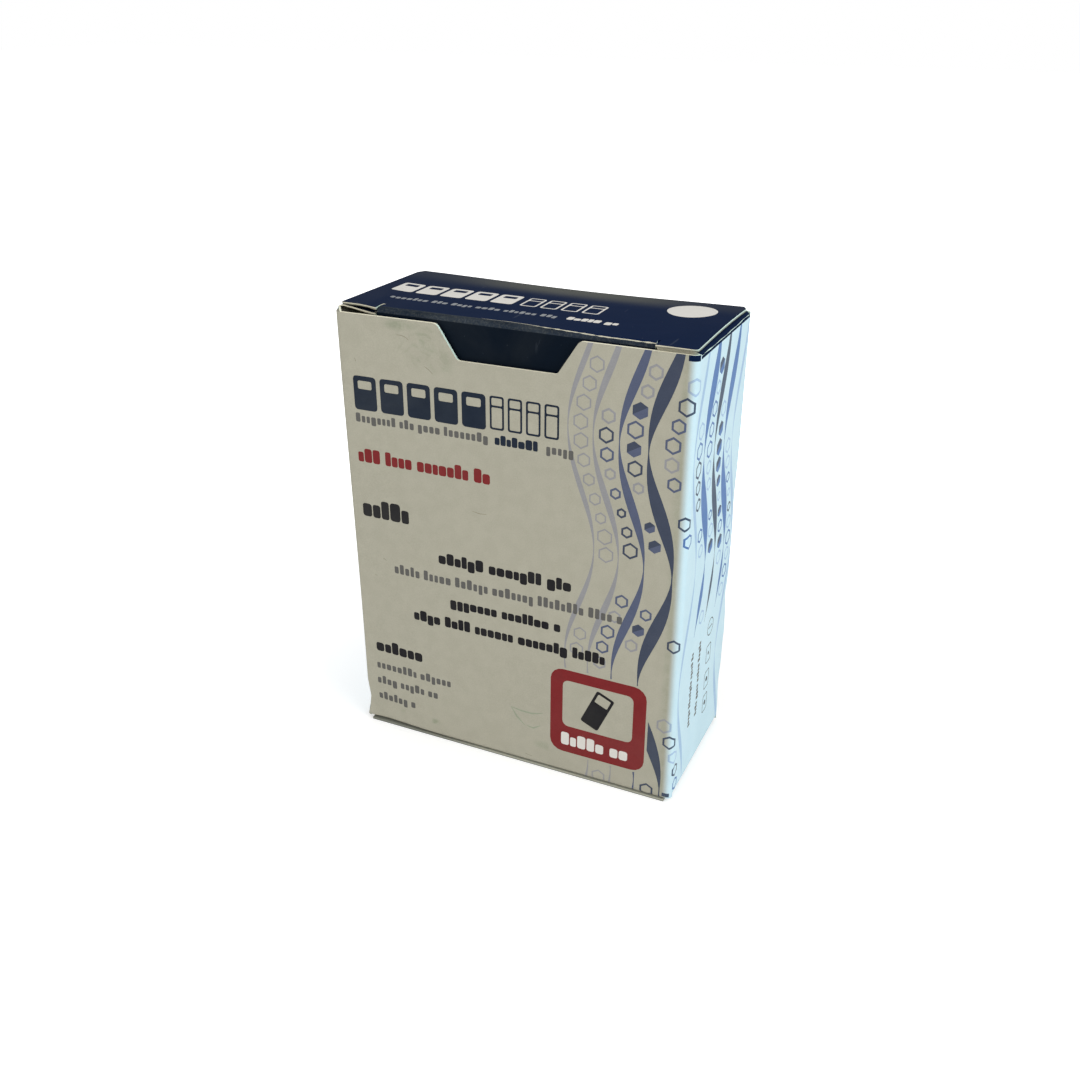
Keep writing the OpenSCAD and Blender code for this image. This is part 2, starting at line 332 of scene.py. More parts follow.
    def on_lid(self, x, y):
        return Vector((-x, self.quarter + self.y_end - y))

    def on_tuck(self, x, z):
        return Vector((-x, self.quarter + self.z_fold - z))


# ---------------------------------------------------------------- outlines


def arc(centre, radius, start, end, steps):
    """Points on an arc, with its angles in degrees."""
    centre = Vector(centre)
    turns = [math.radians(start + (end - start) * i / steps) for i in range(steps + 1)]
    return [centre + radius * Vector((math.cos(a), math.sin(a))) for a in turns]


def circle(centre, radius, steps=24):
    return arc(centre, radius, 0, 360 * (steps - 1) / steps, steps - 1)


def hexagon(centre, radius):
    return arc(centre, radius, 30, 330, 5)


def rounded(points, radii, steps=5):
    """A polygon whose corners are rounded where radii gives more than 0."""
    result = []
    for i, radius in enumerate(radii):
        corner = Vector(points[i])
        if radius <= 0:
            result.append(corner)
            continue
        a = (Vector(points[i - 1]) - corner).normalized()
        b = (Vector(points[(i + 1) % len(points)]) - corner).normalized()
        half = a.angle(b) / 2
        centre = corner + (a + b).normalized() * radius / math.sin(half)
        start = corner + a * radius / math.tan(half) - centre
        end = corner + b * radius / math.tan(half) - centre
        sweep = start.angle_signed(end)
        for k in range(steps + 1):
            result.append(centre + Matrix.Rotation(-sweep * k / steps, 2) @ start)
    return result


def panel(x0, y0, x1, y1, radius=0, steps=4):
    """A rectangle between two corners, rounded if a radius is given."""
    return rounded([(x0, y0), (x1, y0), (x1, y1), (x0, y1)], [radius] * 4, steps)


def ribbon(points, widths):
    """A band along a line of points, as wide at each as widths says."""
    points = [Vector(p) for p in points]
    left, right = [], []
    for i, (point, width) in enumerate(zip(points, widths)):
        ahead = points[min(i + 1, len(points) - 1)] - points[max(i - 1, 0)]
        side = Vector((-ahead.y, ahead.x)).normalized() * width / 2
        left.append(point + side)
        right.append(point - side)
    return left + right[::-1]


def turned(outline, pivot, degrees):
    pivot, turn = Vector(pivot), Matrix.Rotation(math.radians(degrees), 2)
    return [pivot + turn @ (Vector(p) - pivot) for p in outline]


def divided(outline, step):
    """The same outline with more points on its long sides."""
    result = []
    for a, b in zip(outline, outline[1:] + outline[:1]):
        a, b = Vector(a), Vector(b)
        count = max(1, round((b - a).length / step))
        result += [a.lerp(b, i / count) for i in range(count)]
    return result


def mirrored(outline):
    return [(-p[0], p[1]) for p in reversed(outline)]


def laid(place, outline):
    """An outline whose points are each put in their place on the flat blank."""
    return [place(*p) for p in outline]


def smooth(edge0, edge1, value):
    """0 before edge0, 1 past edge1, and a smooth step between them."""
    t = min(1, max(0, (value - edge0) / (edge1 - edge0)))
    return t * t * (3 - 2 * t)


def bump(u, v, at_u, at_v, reach_u, reach_v):
    """A smooth hill of height 1, which ends at its reach."""
    distance = math.hypot((u - at_u) / reach_u, (v - at_v) / reach_v)
    return 1 - smooth(0, 1, distance)


# ---------------------------------------------------------------- sheets


class Sheet:
    """A flat cut of board and its print, which a fold turns into a closed mesh of even thickness."""

    GRAIN = 1e-4        # points nearer than this are one point
    SHORTEST = 1e-3     # an outline's points that are nearer than this are left out
    TOUCHING = 2e-3     # an edge this near to a joined edge is part of it
    PROBE = 0.05        # step over which the lift's slope is measured
    SPACING = 2.0       # between the points that let a board bulge

    def __init__(self, fold, lift, thickness, crush=None):
        self.fold, self.lift, self.thickness = fold, lift, thickness
        self.crush = crush or (lambda u, v: 0.0)
        self.points, self.lines, self.areas = [], [], []
        self.boards, self.prints, self.joins = [], [], []

    def area(self, outline):
        outline = [Vector(p) for p in outline]
        outline = [p for i, p in enumerate(outline) if (p - outline[i - 1]).length > self.SHORTEST]
        twice = sum(a.x * b.y - b.x * a.y for a, b in zip(outline, outline[1:] + outline[:1]))
        if twice < 0:
            outline.reverse()
        first = len(self.points)
        self.points += outline
        self.areas.append(list(range(first, len(self.points))))
        return len(self.areas) - 1

    def board(self, outline, holes=()):
        self.boards.append((self.area(outline), {self.area(hole) for hole in holes}))

    def ink(self, name, outline, holes=()):
        self.prints.append((self.area(outline), {self.area(hole) for hole in holes}, name))

    def line(self, start, end):
        self.lines.append((len(self.points), len(self.points) + 1))
        self.points += [Vector(start), Vector(end)]

    def crease(self, start, end, across, steps=8):
        """Lines side by side from start to end, spread over the vector across, where the board bends."""
        start, end, across = Vector(start), Vector(end), Vector(across)
        count = round((end - start).length / self.SPACING)
        for i in range(steps + 1):
            shift = across * i / steps
            self.line(start + shift, end + shift)
            self.points += [start.lerp(end, k / count) + shift for k in range(1, count)]

    def grid(self, x0, y0, x1, y1, step=SPACING):
        """Points spread evenly inside a rectangle, so that its board can bulge."""
        across = max(1, round((x1 - x0) / step))
        up = max(1, round((y1 - y0) / step))
        self.points += [Vector((x0 + (x1 - x0) * (i + 0.5) / across, y0 + (y1 - y0) * (j + 0.5) / up))
                        for i in range(across) for j in range(up)]

    def join(self, start, end):
        """A cut edge that the next sheet runs on from, so its rim keeps the print's colour."""
        self.joins.append((Vector(start), Vector(end)))

    def joined(self, a, b):
        """True where the edge from a to b lies on a joined edge."""
        def near(point, start, end):
            along = end - start
            share = max(0, min(1, (point - start).dot(along) / along.length_squared))
            return (start + along * share - point).length < self.TOUCHING
        return any(near(a, *ends) and near(b, *ends) for ends in self.joins)

    def skin(self, flat):
        """Outer place and normal of a flat point, with the lift and its slope."""
        place, normal, tangent = self.fold(flat.x, flat.y)
        lift = self.lift(flat.x, flat.y)
        slope_u = (self.lift(flat.x + self.PROBE, flat.y) - lift) / self.PROBE
        slope_v = (self.lift(flat.x, flat.y + self.PROBE) - lift) / self.PROBE
        shade = (normal - tangent * slope_u - normal.cross(tangent) * slope_v).normalized()
        depth = self.thickness * (1 - self.crush(flat.x, flat.y))
        return place + normal * lift, place + normal * (lift - depth), shade

    def cut(self, ground):
        """Flat points, and the triangles that lie on a board, each with the ink that lies uppermost."""
        flats, _, faces, _, _, origins = delaunay_2d_cdt(
            self.points, self.lines, self.areas, 1, self.GRAIN, True)
        kept = []
        for face, found in zip(faces, origins):
            found = set(found)
            if not any(a in found and not holes & found for a, holes in self.boards):
                continue
            ink = ground
            for a, holes, printed in self.prints:
                if a in found and not holes & found:
                    ink = printed
            kept.append((face, ink))
        return flats, kept

    def build(self, name, materials, ground):
        """Makes the object. materials maps each ink, "raw" and "inside" to a material."""
        flats, kept = self.cut(ground)
        shown = {ink for _, ink in kept} | {"raw", "inside"}
        slots = [key for key in materials if key in shown]
        used = sorted({i for face, _ in kept for i in face})
        index = {old: new for new, old in enumerate(used)}
        count = len(used)
        skins = [self.skin(flats[old]) for old in used]
        places = [outer for outer, _, _ in skins] + [inner for _, inner, _ in skins]
        polygons, slot_of, normals = [], [], []
        rim = {}
        for face, ink in kept:
            corners = [index[i] for i in face]
            polygons += [corners, [c + count for c in reversed(corners)]]
            slot_of += [slots.index(ink), slots.index("inside")]
            normals += [skins[c][2] for c in corners] + [-skins[c][2] for c in reversed(corners)]
            for a, b in zip(face, face[1:] + face[:1]):
                if rim.pop((b, a), None) is None:
                    rim[a, b] = ink
        for (a, b), ink in rim.items():
            i, j = index[a], index[b]
            polygons.append([j, i, i + count, j + count])
            slot_of.append(slots.index(ink if self.joined(flats[a], flats[b]) else "raw"))
            side = (places[i] - places[j]).cross(places[i + count] - places[i]).normalized()
            normals += [side] * 4
        mesh = bpy.data.meshes.new(name)
        mesh.from_pydata([p * MM for p in places], [], polygons)
        for key in slots:
            mesh.materials.append(materials[key])
        mesh.polygons.foreach_set("material_index", slot_of)
        mesh.polygons.foreach_set("use_smooth", [True] * len(polygons))
        mesh.normals_split_custom_set(normals)
        # 0 on the outer face and 1 on the inner one, for the painted shade on the cut edges
        depth = mesh.attributes.new("depth", "FLOAT", "POINT")
        depth.data.foreach_set("value", [0.0] * count + [1.0] * count)
        mesh.update()
        return linked(name, mesh)


def linked(name, data):
    """A new object in the scene."""
    thing = bpy.data.objects.new(name, data)
    bpy.context.scene.collection.objects.link(thing)
    return thing


# ---------------------------------------------------------------- materials


# What lies on the board, and the painted shade and shadow on its cut edges, as linear colours
DIRT, SPECK, MOTE, SCRATCH = (0.30, 0.31, 0.26), (0.12, 0.11, 0.09), (0.20, 0.22, 0.25), (0.12, 0.14, 0.17)
# Bare fibres; grime with painted shade, for cut edges that face forwards; painted shade towards a cut edge's
# inner face
FIBRE, GRIME_AND_SHADE, INNER_EDGE_SHADE = (0.45, 0.43, 0.36), (0.30, 0.27, 0.19), (0.10, 0.10, 0.07)
# Painted shade on the lowest cut edges, deeper at the left, and a painted contact shadow where they meet the
# floor
LOW_EDGE_SHADE, LOW_EDGE_SHADE_DEEP, CONTACT_SHADOW = (0.33, 0.34, 0.28), (0.15, 0.155, 0.13), (0.08, 0.09, 0.08)


class Tree:
    """Short forms for building a node tree. An input is given a value, a colour or another node's output."""

    def __init__(self, tree):
        self.tree = tree
        tree.nodes.clear()

    def add(self, kind, inputs=None, **settings):
        node = self.tree.nodes.new(kind)
        for key, value in settings.items():
            setattr(node, key, value)
        for key, value in (inputs or {}).items():
            socket = node.inputs[key]
            if isinstance(value, bpy.types.NodeSocket):
                self.tree.links.new(value, socket)
            elif socket.type == "RGBA":
                socket.default_value = (*value[:3], 1.0)
            else:
                socket.default_value = value
        return node

    def maths(self, operation, a, b=0.0, clamp=False):
        return self.add("ShaderNodeMath", {0: a, 1: b}, operation=operation, use_clamp=clamp).outputs[0]

    def product(self, a, b):
        return self.maths("MULTIPLY", a, b)

    def vector(self, operation, *values):
        """A vector made from others, or a vector's length."""
        node = self.add("ShaderNodeVectorMath", dict(enumerate(values)), operation=operation)
        return node.outputs["Value" if operation == "LENGTH" else "Vector"]

    def split(self, vector):
        return self.add("ShaderNodeSeparateXYZ", {"Vector": vector}).outputs

    def ramp(self, value, low, high, to_low=0.0, to_high=1.0):
        return self.add("ShaderNodeMapRange", {"Value": value, "From Min": low, "From Max": high,
                                               "To Min": to_low, "To Max": to_high},
                        interpolation_type="SMOOTHSTEP").outputs[0]

    def noise(self, place, scale, detail=3.0, roughness=0.55, distortion=0.0):
        node = self.add("ShaderNodeTexNoise", {"Vector": place, "Scale": scale, "Detail": detail,
                                               "Roughness": roughness, "Distortion": distortion})
        return node.outputs["Fac"]

    def stretched(self, place, scale, **turn):
        return self.add("ShaderNodeMapping", {"Vector": place, "Scale": scale, **turn}).outputs[0]

    def mix(self, share, a, b, blend="MIX"):
        colours = {0: share, 6: a, 7: b}
        return self.add("ShaderNodeMix", colours, data_type="RGBA", blend_type=blend).outputs[2]

    def greys(self, share, dark, light):
        return self.mix(share, [dark] * 3, [light] * 3)

    def surface(self, base, rough, grain, strength, depth, **more):
        """Ends a material in one shader, with the relief of its grain, whose depth is in millimetres."""
        relief = self.add("ShaderNodeBump", {"Height": grain, "Strength": strength, "Distance": depth * MM})
        shader = self.add("ShaderNodeBsdfPrincipled", {"Base Color": base, "Roughness": rough,
                                                       "Normal": relief.outputs[0], **more})
        self.finish(shader.outputs[0])

    def finish(self, shader):
        self.add("ShaderNodeOutputMaterial", {"Surface": shader})


def new_material(name):
    """A material with its empty tree and the place on the piece, in object coordinates."""
    material = bpy.data.materials.new(name)
    material.use_nodes = True
    tree = Tree(material.node_tree)
    return material, tree, tree.add("ShaderNodeTexCoord").outputs["Object"]


def shaded(value, share):
    return [c * share for c in value]


def specks(tree, place, scale, size, share):
    """1 on small round specks, one in some of the cells of a grid, and 0 elsewhere."""
    cells = tree.add("ShaderNodeTexVoronoi", {"Vector": place, "Scale": scale}).outputs
    draw = tree.add("ShaderNodeSeparateColor", {"Color": cells["Color"]}).outputs[0]
    chosen = tree.maths("GREATER_THAN", draw, 1 - share)
    return tree.product(tree.maths("LESS_THAN", cells["Distance"], size), chosen)


def facing(tree):
    """The three parts of the surface's normal."""
    return tree.split(tree.add("ShaderNodeTexCoord").outputs["Normal"])


def side_light_share(tree, axes, plan, other):
    """0 in the front's colour and 1 in the side's, turning over the right crease, or 1 where other is. The
    side's colour is the board in painted cool light, the front's in painted shade.
    """
    turn = tree.ramp(axes[0], (plan.x_side - 1.8) * MM, (plan.x_side - 0.2) * MM)
    return tree.maths("MAXIMUM", turn, other)


def near_spot(tree, place, spot, reach):
    """1 at a spot given in millimetres, falling to 0 at its reach, with the distance in millimetres."""
    offset = tree.vector("SUBTRACT", place, [c * MM for c in spot])
    share = tree.vector("LENGTH", tree.vector("MULTIPLY", offset, [1 / (c * MM) for c in reach]))
    return tree.ramp(share, 1.0, 0.25), tree.maths("DIVIDE", tree.vector("LENGTH", offset), MM)


def finger_marks(tree, place, base, colours, plan):
    """Smears of green and the ridges of a finger tip, left of the notch and by the lower edge."""
    patchy = tree.ramp(tree.noise(place, 300, 3, 0.6, 0.8), 0.34, 0.6)
    # Ridges: broken, wavering arcs round a point below the smudge
    y, pitch, waver = plan.y_front, 1.35, 3.4
    shaken = tree.add("ShaderNodeTexNoise", {"Vector": place, "Scale": 330.0, "Detail": 2.0}).outputs["Color"]
    shift = tree.vector("SUBTRACT", shaken, (0.5, 0.5, 0.5))
    wavering = tree.vector("MULTIPLY_ADD", shift, [waver * MM] * 3, place)
    _, away = near_spot(tree, wavering, (-14.8, y, 72.6), (1, 1, 1))
    ridges = tree.ramp(tree.maths("SINE", tree.product(away, 2 * math.pi / pitch)), -0.3, 0.9, 0.35, 1.0)
    # Middle, reach and strength of each smear, and whether it shows ridges
    for spot, reach, strength, ridged in (((-14.9, y, 75.0), (6.2, 3, 4.8), 0.55, True),
                                          ((-11.6, y, 72.8), (3.4, 3, 3.6), 0.3, False),
                                          ((-18.9, y, 78.0), (4.0, 3, 1.3), 0.65, False),
                                          ((-15.6, y, 3.5), (2.2, 3, 0.8), 0.8, False),
                                          ((-22.2, y, 3.9), (1.2, 3, 0.8), 0.5, False),
                                          ((6.7, y, 4.9), (2.4, 3, 1.2), 0.4, False)):
        share, _ = near_spot(tree, place, spot, reach)
        if ridged:
            share = tree.product(share, ridges)
        base = tree.mix(tree.product(tree.product(share, patchy), strength), base, colours.smudge)
    return base


def rubbed_corner(tree, place, axes, base, colours):
    """The corner crease, rubbed and a little darker where it leaves the front."""
    patchy = tree.ramp(tree.noise(place, 700, 4, 0.7), 0.35, 0.65, 0.35, 1.0)
    rub = tree.product(tree.ramp(axes[0], 27.4 * MM, 28.7 * MM),
                       tree.ramp(axes[0], 29.3 * MM, 28.8 * MM, 0, 0.42))
    return tree.mix(tree.product(rub, patchy), base, colours.smudge)


def sheen_and_wear(tree, axes, base, colours, plan):
    """The lid's ink, greyer towards the middle of its back crease, a painted reflection of its sheen together
    with rubbed ink, and a little lighter towards its left end, a painted sheen.
    """
    back = tree.ramp(axes[1], 5.0 * MM, 11.6 * MM, 0, 0.7)
    middle = tree.ramp(tree.maths("ABSOLUTE", axes[0]), 6 * MM, 28 * MM, 1, 0.22)
    base = tree.mix(tree.product(back, middle), base, colours.sheen_and_wear)
    # Painted sheen: a little lighter towards the left end
    left = tree.ramp(axes[0], -8 * MM, -plan.x_side * MM, 0, 0.08)
    return tree.mix(left, base, shaded(colours.sheen_and_wear, 0.6))


def streaks(tree, place, base, colours):
    """Ink rubbed unevenly along the crease, with a fine grain."""
    drawn = tree.stretched(place, (110, 900, 900))
    broken = tree.ramp(tree.noise(drawn, 1.0, 3, 0.6, 0.5), 0.36, 0.66, 0, 0.6)
    grains = tree.ramp(tree.noise(place, 2600, 3, 0.75), 0.42, 0.74, 0, 0.28)
    return tree.mix(grains, tree.mix(broken, base, colours.navy_shade), colours.sheen_and_wear)


def dusted(tree, place, base, dust):
    """Pale dust and hairline scratches, which only a dark ink shows."""
    base = tree.mix(tree.product(specks(tree, place, 620, 0.035, 0.2), dust), base, MOTE)
    drawn = tree.stretched(place, (900, 60, 200), Rotation=(0, 0, 0.5))
    scratches = tree.ramp(tree.noise(drawn, 1.0, 2, 0.5), 0.70, 0.74)
    return tree.mix(tree.product(scratches, dust * 0.5), base, SCRATCH)


def printed_material(name, front, side, plan, colours, roughness=0.42, dirt=0.05, gloss=0.2, dust=0.0,
                     handled=False, sheen_band=False, streaked=False):
    """Coated board under one ink, whose colour turns from the front's painted shade to the side's painted
    cool light over the right crease, and on faces that look left.
    """
    material, tree, place = new_material(name)
    axes = tree.split(place)
    base = front
    if tuple(front) != tuple(side):
        # Faces that look left take the sides' painted cool light too
        left = tree.ramp(facing(tree)[0], -0.82, -0.97)
        base = tree.mix(side_light_share(tree, axes, plan, left), base, side)
    if handled:
        base = rubbed_corner(tree, place, axes, base, colours)
        base = finger_marks(tree, place, base, colours, plan)
    if sheen_band:
        base = sheen_and_wear(tree, axes, base, colours, plan)
    if streaked:
        base = streaks(tree, place, base, colours)
    # Hand dirt in soft clouds, a faint mottle, the grain of the fibres and dark specks
    clouds = tree.noise(place, 60, 4, 0.6, 0.6)
    base = tree.mix(tree.ramp(clouds, 0.42, 0.75, 0, dirt), base, DIRT)
    mottle = tree.noise(place, 420, 3, 0.6)
    base = tree.mix(dirt, base, tree.greys(tree.ramp(mottle, 0.35, 0.65), 0.1, 0.9), "SOFT_LIGHT")
    fibres = tree.noise(place, 5200, 2, 0.5)
    base = tree.mix(0.08, base, tree.greys(tree.ramp(fibres, 0.3, 0.7), 0.2, 0.8), "OVERLAY")
    base = tree.mix(tree.product(specks(tree, place, 190, 0.016, 0.16), 0.35), base, SPECK)
    if dust:
        base = dusted(tree, place, base, dust)
    rough = tree.ramp(clouds, 0.3, 0.7, roughness - 0.05, roughness + 0.09)
    grain = tree.maths("ADD", tree.product(mottle, 0.8), fibres)
    tree.surface(base, rough, grain, 0.12, 0.03, **{"Specular IOR Level": gloss})
    return material


def raw_material(name, front, side, plan, rough=0.85, dusk=0.0):
    """Unprinted board: the fibrous cut edge, or the back of the sheet, with painted cool light on faces that
    look right and painted shade on those that face forwards or lie lowest.
    """
    material, tree, place = new_material(name)
    axes, normal = tree.split(place), facing(tree)
    # Faces that look right, and those by the right crease, take the side's colour: painted cool light
    base = tree.mix(side_light_share(tree, axes, plan, tree.ramp(normal[0], 0.2, 0.8)), front, side)
    fibres = tree.noise(place, 3800, 4, 0.65)
    base = tree.mix(tree.ramp(fibres, 0.35, 0.7, 0, 0.12), base, FIBRE)
    base = tree.mix(tree.ramp(tree.noise(place, 260, 3, 0.6), 0.5, 0.8, 0, 0.1), base, FIBRE)
    # Painted shade, with some grime, on the edges that face forwards; painted shade on the lowest ones, most
    # of all at the left, and a painted contact shadow at the floor
    base = tree.mix(tree.ramp(normal[1], -0.5, -0.9, 0, 0.35), base, GRIME_AND_SHADE)
    low_edge_shade_share = tree.ramp(axes[2], 1.0 * MM, 0.6 * MM, 0, 0.75)
    base = tree.mix(low_edge_shade_share, base, LOW_EDGE_SHADE)
    base = tree.mix(tree.product(low_edge_shade_share, tree.ramp(axes[0], 0, -20 * MM)), base, LOW_EDGE_SHADE_DEEP)
    base = tree.mix(tree.ramp(axes[2], 0.24 * MM, 0.08 * MM, 0, 0.8), base, CONTACT_SHADOW)
    if dusk:
        # Painted shade, darker towards the sheet's inner face
        depth = tree.add("ShaderNodeAttribute", attribute_name="depth").outputs["Fac"]
        base = tree.mix(tree.ramp(depth, 0.15, 0.75, 0, dusk), base, INNER_EDGE_SHADE)
    tree.surface(base, rough, fibres, 0.4, 0.05)
    return material


def make_materials(plan, colours):
    """Every ink on the board by name, with the raw edges and the inside."""
    def ink(name, side=None, **finish):
        front = getattr(colours, "front" if name == "ground" else "navy" if name == "lid_navy" else name)
        side = getattr(colours, side) if side else front
        return printed_material("ink_" + name, front, side, plan, colours, **finish)

    def raw(name, front, side, **finish):
        return raw_material(name, getattr(colours, front), getattr(colours, side), plan, **finish)

    dark = {"roughness": 0.36, "dirt": 0.02, "gloss": 0.003, "dust": 0.4}
    matt = {"gloss": 0.06}
    return {
        "ground": ink("ground", "side", handled=True),
        "navy": ink("navy", **dark),
        # The lid's ink carries a painted sheen along its back crease
        "lid_navy": ink("lid_navy", **dark, sheen_band=True),
        "navy_shade": ink("navy_shade", roughness=0.36, dirt=0.02, gloss=0.02, dust=0.15),
        "navy_worn": ink("navy_worn", roughness=0.45, gloss=0.02, dust=0.7, streaked=True),
        "heading": ink("heading", **matt),
        "text": ink("text", **matt),
        "fine_text": ink("fine_text", **matt),
        "red": ink("red", gloss=0.1),
        "white": ink("white"),
        "white_fine": ink("white_fine"),
        "slate": ink("slate", "blue"),
        "slate_deep": ink("slate_deep", "slate_side"),
        "pale": ink("pale", "pale_blue"),
        "wear_and_highlight": raw("bare_fibres_and_highlight", "wear_and_highlight", "raw_side"),
        "green": ink("green"),
        "scuff": ink("scuff"),
        "raw": raw("raw_edge", "raw_front", "raw_side"),
        # The lid's and tuck flap's cut edges get painted shade towards their inner face
        "raw_lid": raw("raw_lid_edge", "raw_front", "raw_side", dusk=0.85),
        "inside": raw("board_inside", "inside", "inside", rough=0.7),
    }


# ---------------------------------------------------------------- print


def greeked(rng, x0, x1, base, height, letter, gap):
    """Plain blocks in word-long groups that fill a line, some of them taller and a few hanging lower."""
    blocks, x = [], x0
    while x < x1 - letter:
        for _ in range(rng.randint(3, 8)):
            width = letter * rng.uniform(0.8, 1.2)
            if x + width > x1:
                break
            kind = rng.random()
            top = base + height * (1 if kind < 0.28 else 0.72)
            foot = base - (height * 0.24 if kind > 0.9 else 0)
            blocks.append(panel(x, foot, x + width, top, min(width, height) * 0.28, 3))
            x += width + gap
        x += letter * 0.7
    return blocks


def slide_signs(x0, base, height, count, width, gap):
    """A row of upright slides, each with the window of its marking area."""
    signs = []
    for i in range(count):
        x = x0 + i * (width + gap)
        tile = panel(x, base, x + width, base + height, width * 0.14, 3)
        window = panel(x + width * 0.2, base + height * 0.62, x + width * 0.8, base + height * 0.86,
                       width * 0.06, 2)
        signs.append((tile, [window]))
    return signs


def frame_signs(x0, base, height, count, width, gap, line):
    """A row of upright slides drawn as outlines, each with its marking area over the clear glass."""
    frames, bar = [], base + height * 0.66
    for i in range(count):
        x = x0 + i * (width + gap)
        left, right = x + line, x + width - line
        outer = panel(x, base, x + width, base + height, width * 0.16, 3)
        clear = panel(left, base + line, right, bar, width * 0.08, 2)
        label = panel(left, bar + line, right, base + height - line, width * 0.08, 2)
        frames.append((outer, [clear, label]))
    return frames


class Wave:
    """An upright wavy band that is thick where it leans and thin where it turns."""
    SWING, PITCH, THIN, LOW, HIGH = 2.4, 41, 0.15, -2, 82
    FADE = 9    # height over which a wave that starts on the wall grows to its full width

    def __init__(self, at, thick, ink, phase, low):
        self.at, self.thick, self.ink, self.phase, self.low = at, thick, ink, phase, low

    def angle(self, v):
        return 2 * math.pi * v / self.PITCH + self.phase

    def middle(self, v):
        return self.at + self.SWING * math.sin(self.angle(v))

    def width(self, v):
        fade = smooth(self.low - 0.5, self.low + self.FADE, v) if self.low > 0 else 1
        return (self.THIN + (self.thick - self.THIN) * abs(math.cos(self.angle(v))) ** 1.4) * max(0.05, fade)

    def outline(self, steps=72):
        levels = [self.low + (self.HIGH - self.low) * i / steps for i in range(steps + 1)]
        return ribbon([(self.middle(v), v) for v in levels], [self.width(v) for v in levels])


def plan_waves(plan):
    """Waves that run side by side, from the front's right-hand strip round the side."""
    side, low, text_top = plan.u_right, Wave.LOW, 29
    rows = ((12.8, 0.9, "pale", low), (17.0, 1.1, "pale", low),
            (21.3, 1.5, "slate", low), (26.0, 2.2, "slate_deep", low),
            (side + 2.2, 1.2, "pale", low), (side + 7.4, 2.9, "slate", text_top),
            (side + 12.9, 2.3, "slate_deep", text_top), (side + 18.4, 2.7, "slate", text_top),
            (side + 23.2, 1.3, "pale", low))
    return [Wave(at, thick, ink, 0.9 + 0.12 * k, start) for k, (at, thick, ink, start) in enumerate(rows)]


def on_sign(centre):
    """True where a cell would reach the red sign."""
    return 6.2 < centre.x < 27.2 and 3.2 < centre.y < 23.6


def print_waves(sheet, plan, rng):
    """The waves, with honeycomb rings and two-tone cells strung between them."""
    waves = plan_waves(plan)
    for wave in waves:
        sheet.ink(wave.ink, wave.outline())
    step, first, last = 3.1, 1.6, 77.5
    largest, smallest, play = 1.55, 0.6, 0.3
    for k, (a, b) in enumerate(zip(waves, waves[1:])):
        both_pale = (a.ink, b.ink) == ("pale", "pale")
        for i in range(26):
            v = first + step * (i + 0.5 * (k % 2))
            near, far = a.middle(v) + a.width(v) / 2, b.middle(v) - b.width(v) / 2
            centre = Vector(((near + far) / 2, v))
            radius = min(largest, (far - near) / 2 - play) * rng.uniform(0.82, 1.0)
            share = noise.noise(Vector((centre.x * 0.10, v * 0.085, 4.2)))
            if radius < smallest or share < -0.1 or v < max(a.low, b.low) + 2 or v > last:
                continue
            if on_sign(centre):
                continue
            if "pale" not in (a.ink, b.ink) and rng.random() < 0.3:
                corners = hexagon(centre, radius)
                sheet.ink("slate", corners)
                sheet.ink("slate_deep", [centre] + corners[:4])
            else:
                ring = hexagon(centre, radius - (0.3 if both_pale else 0.4))
                inks = ["pale"] if both_pale else ["slate", "slate_deep", "pale"]
                sheet.ink(rng.choice(inks), hexagon(centre, radius), [ring])


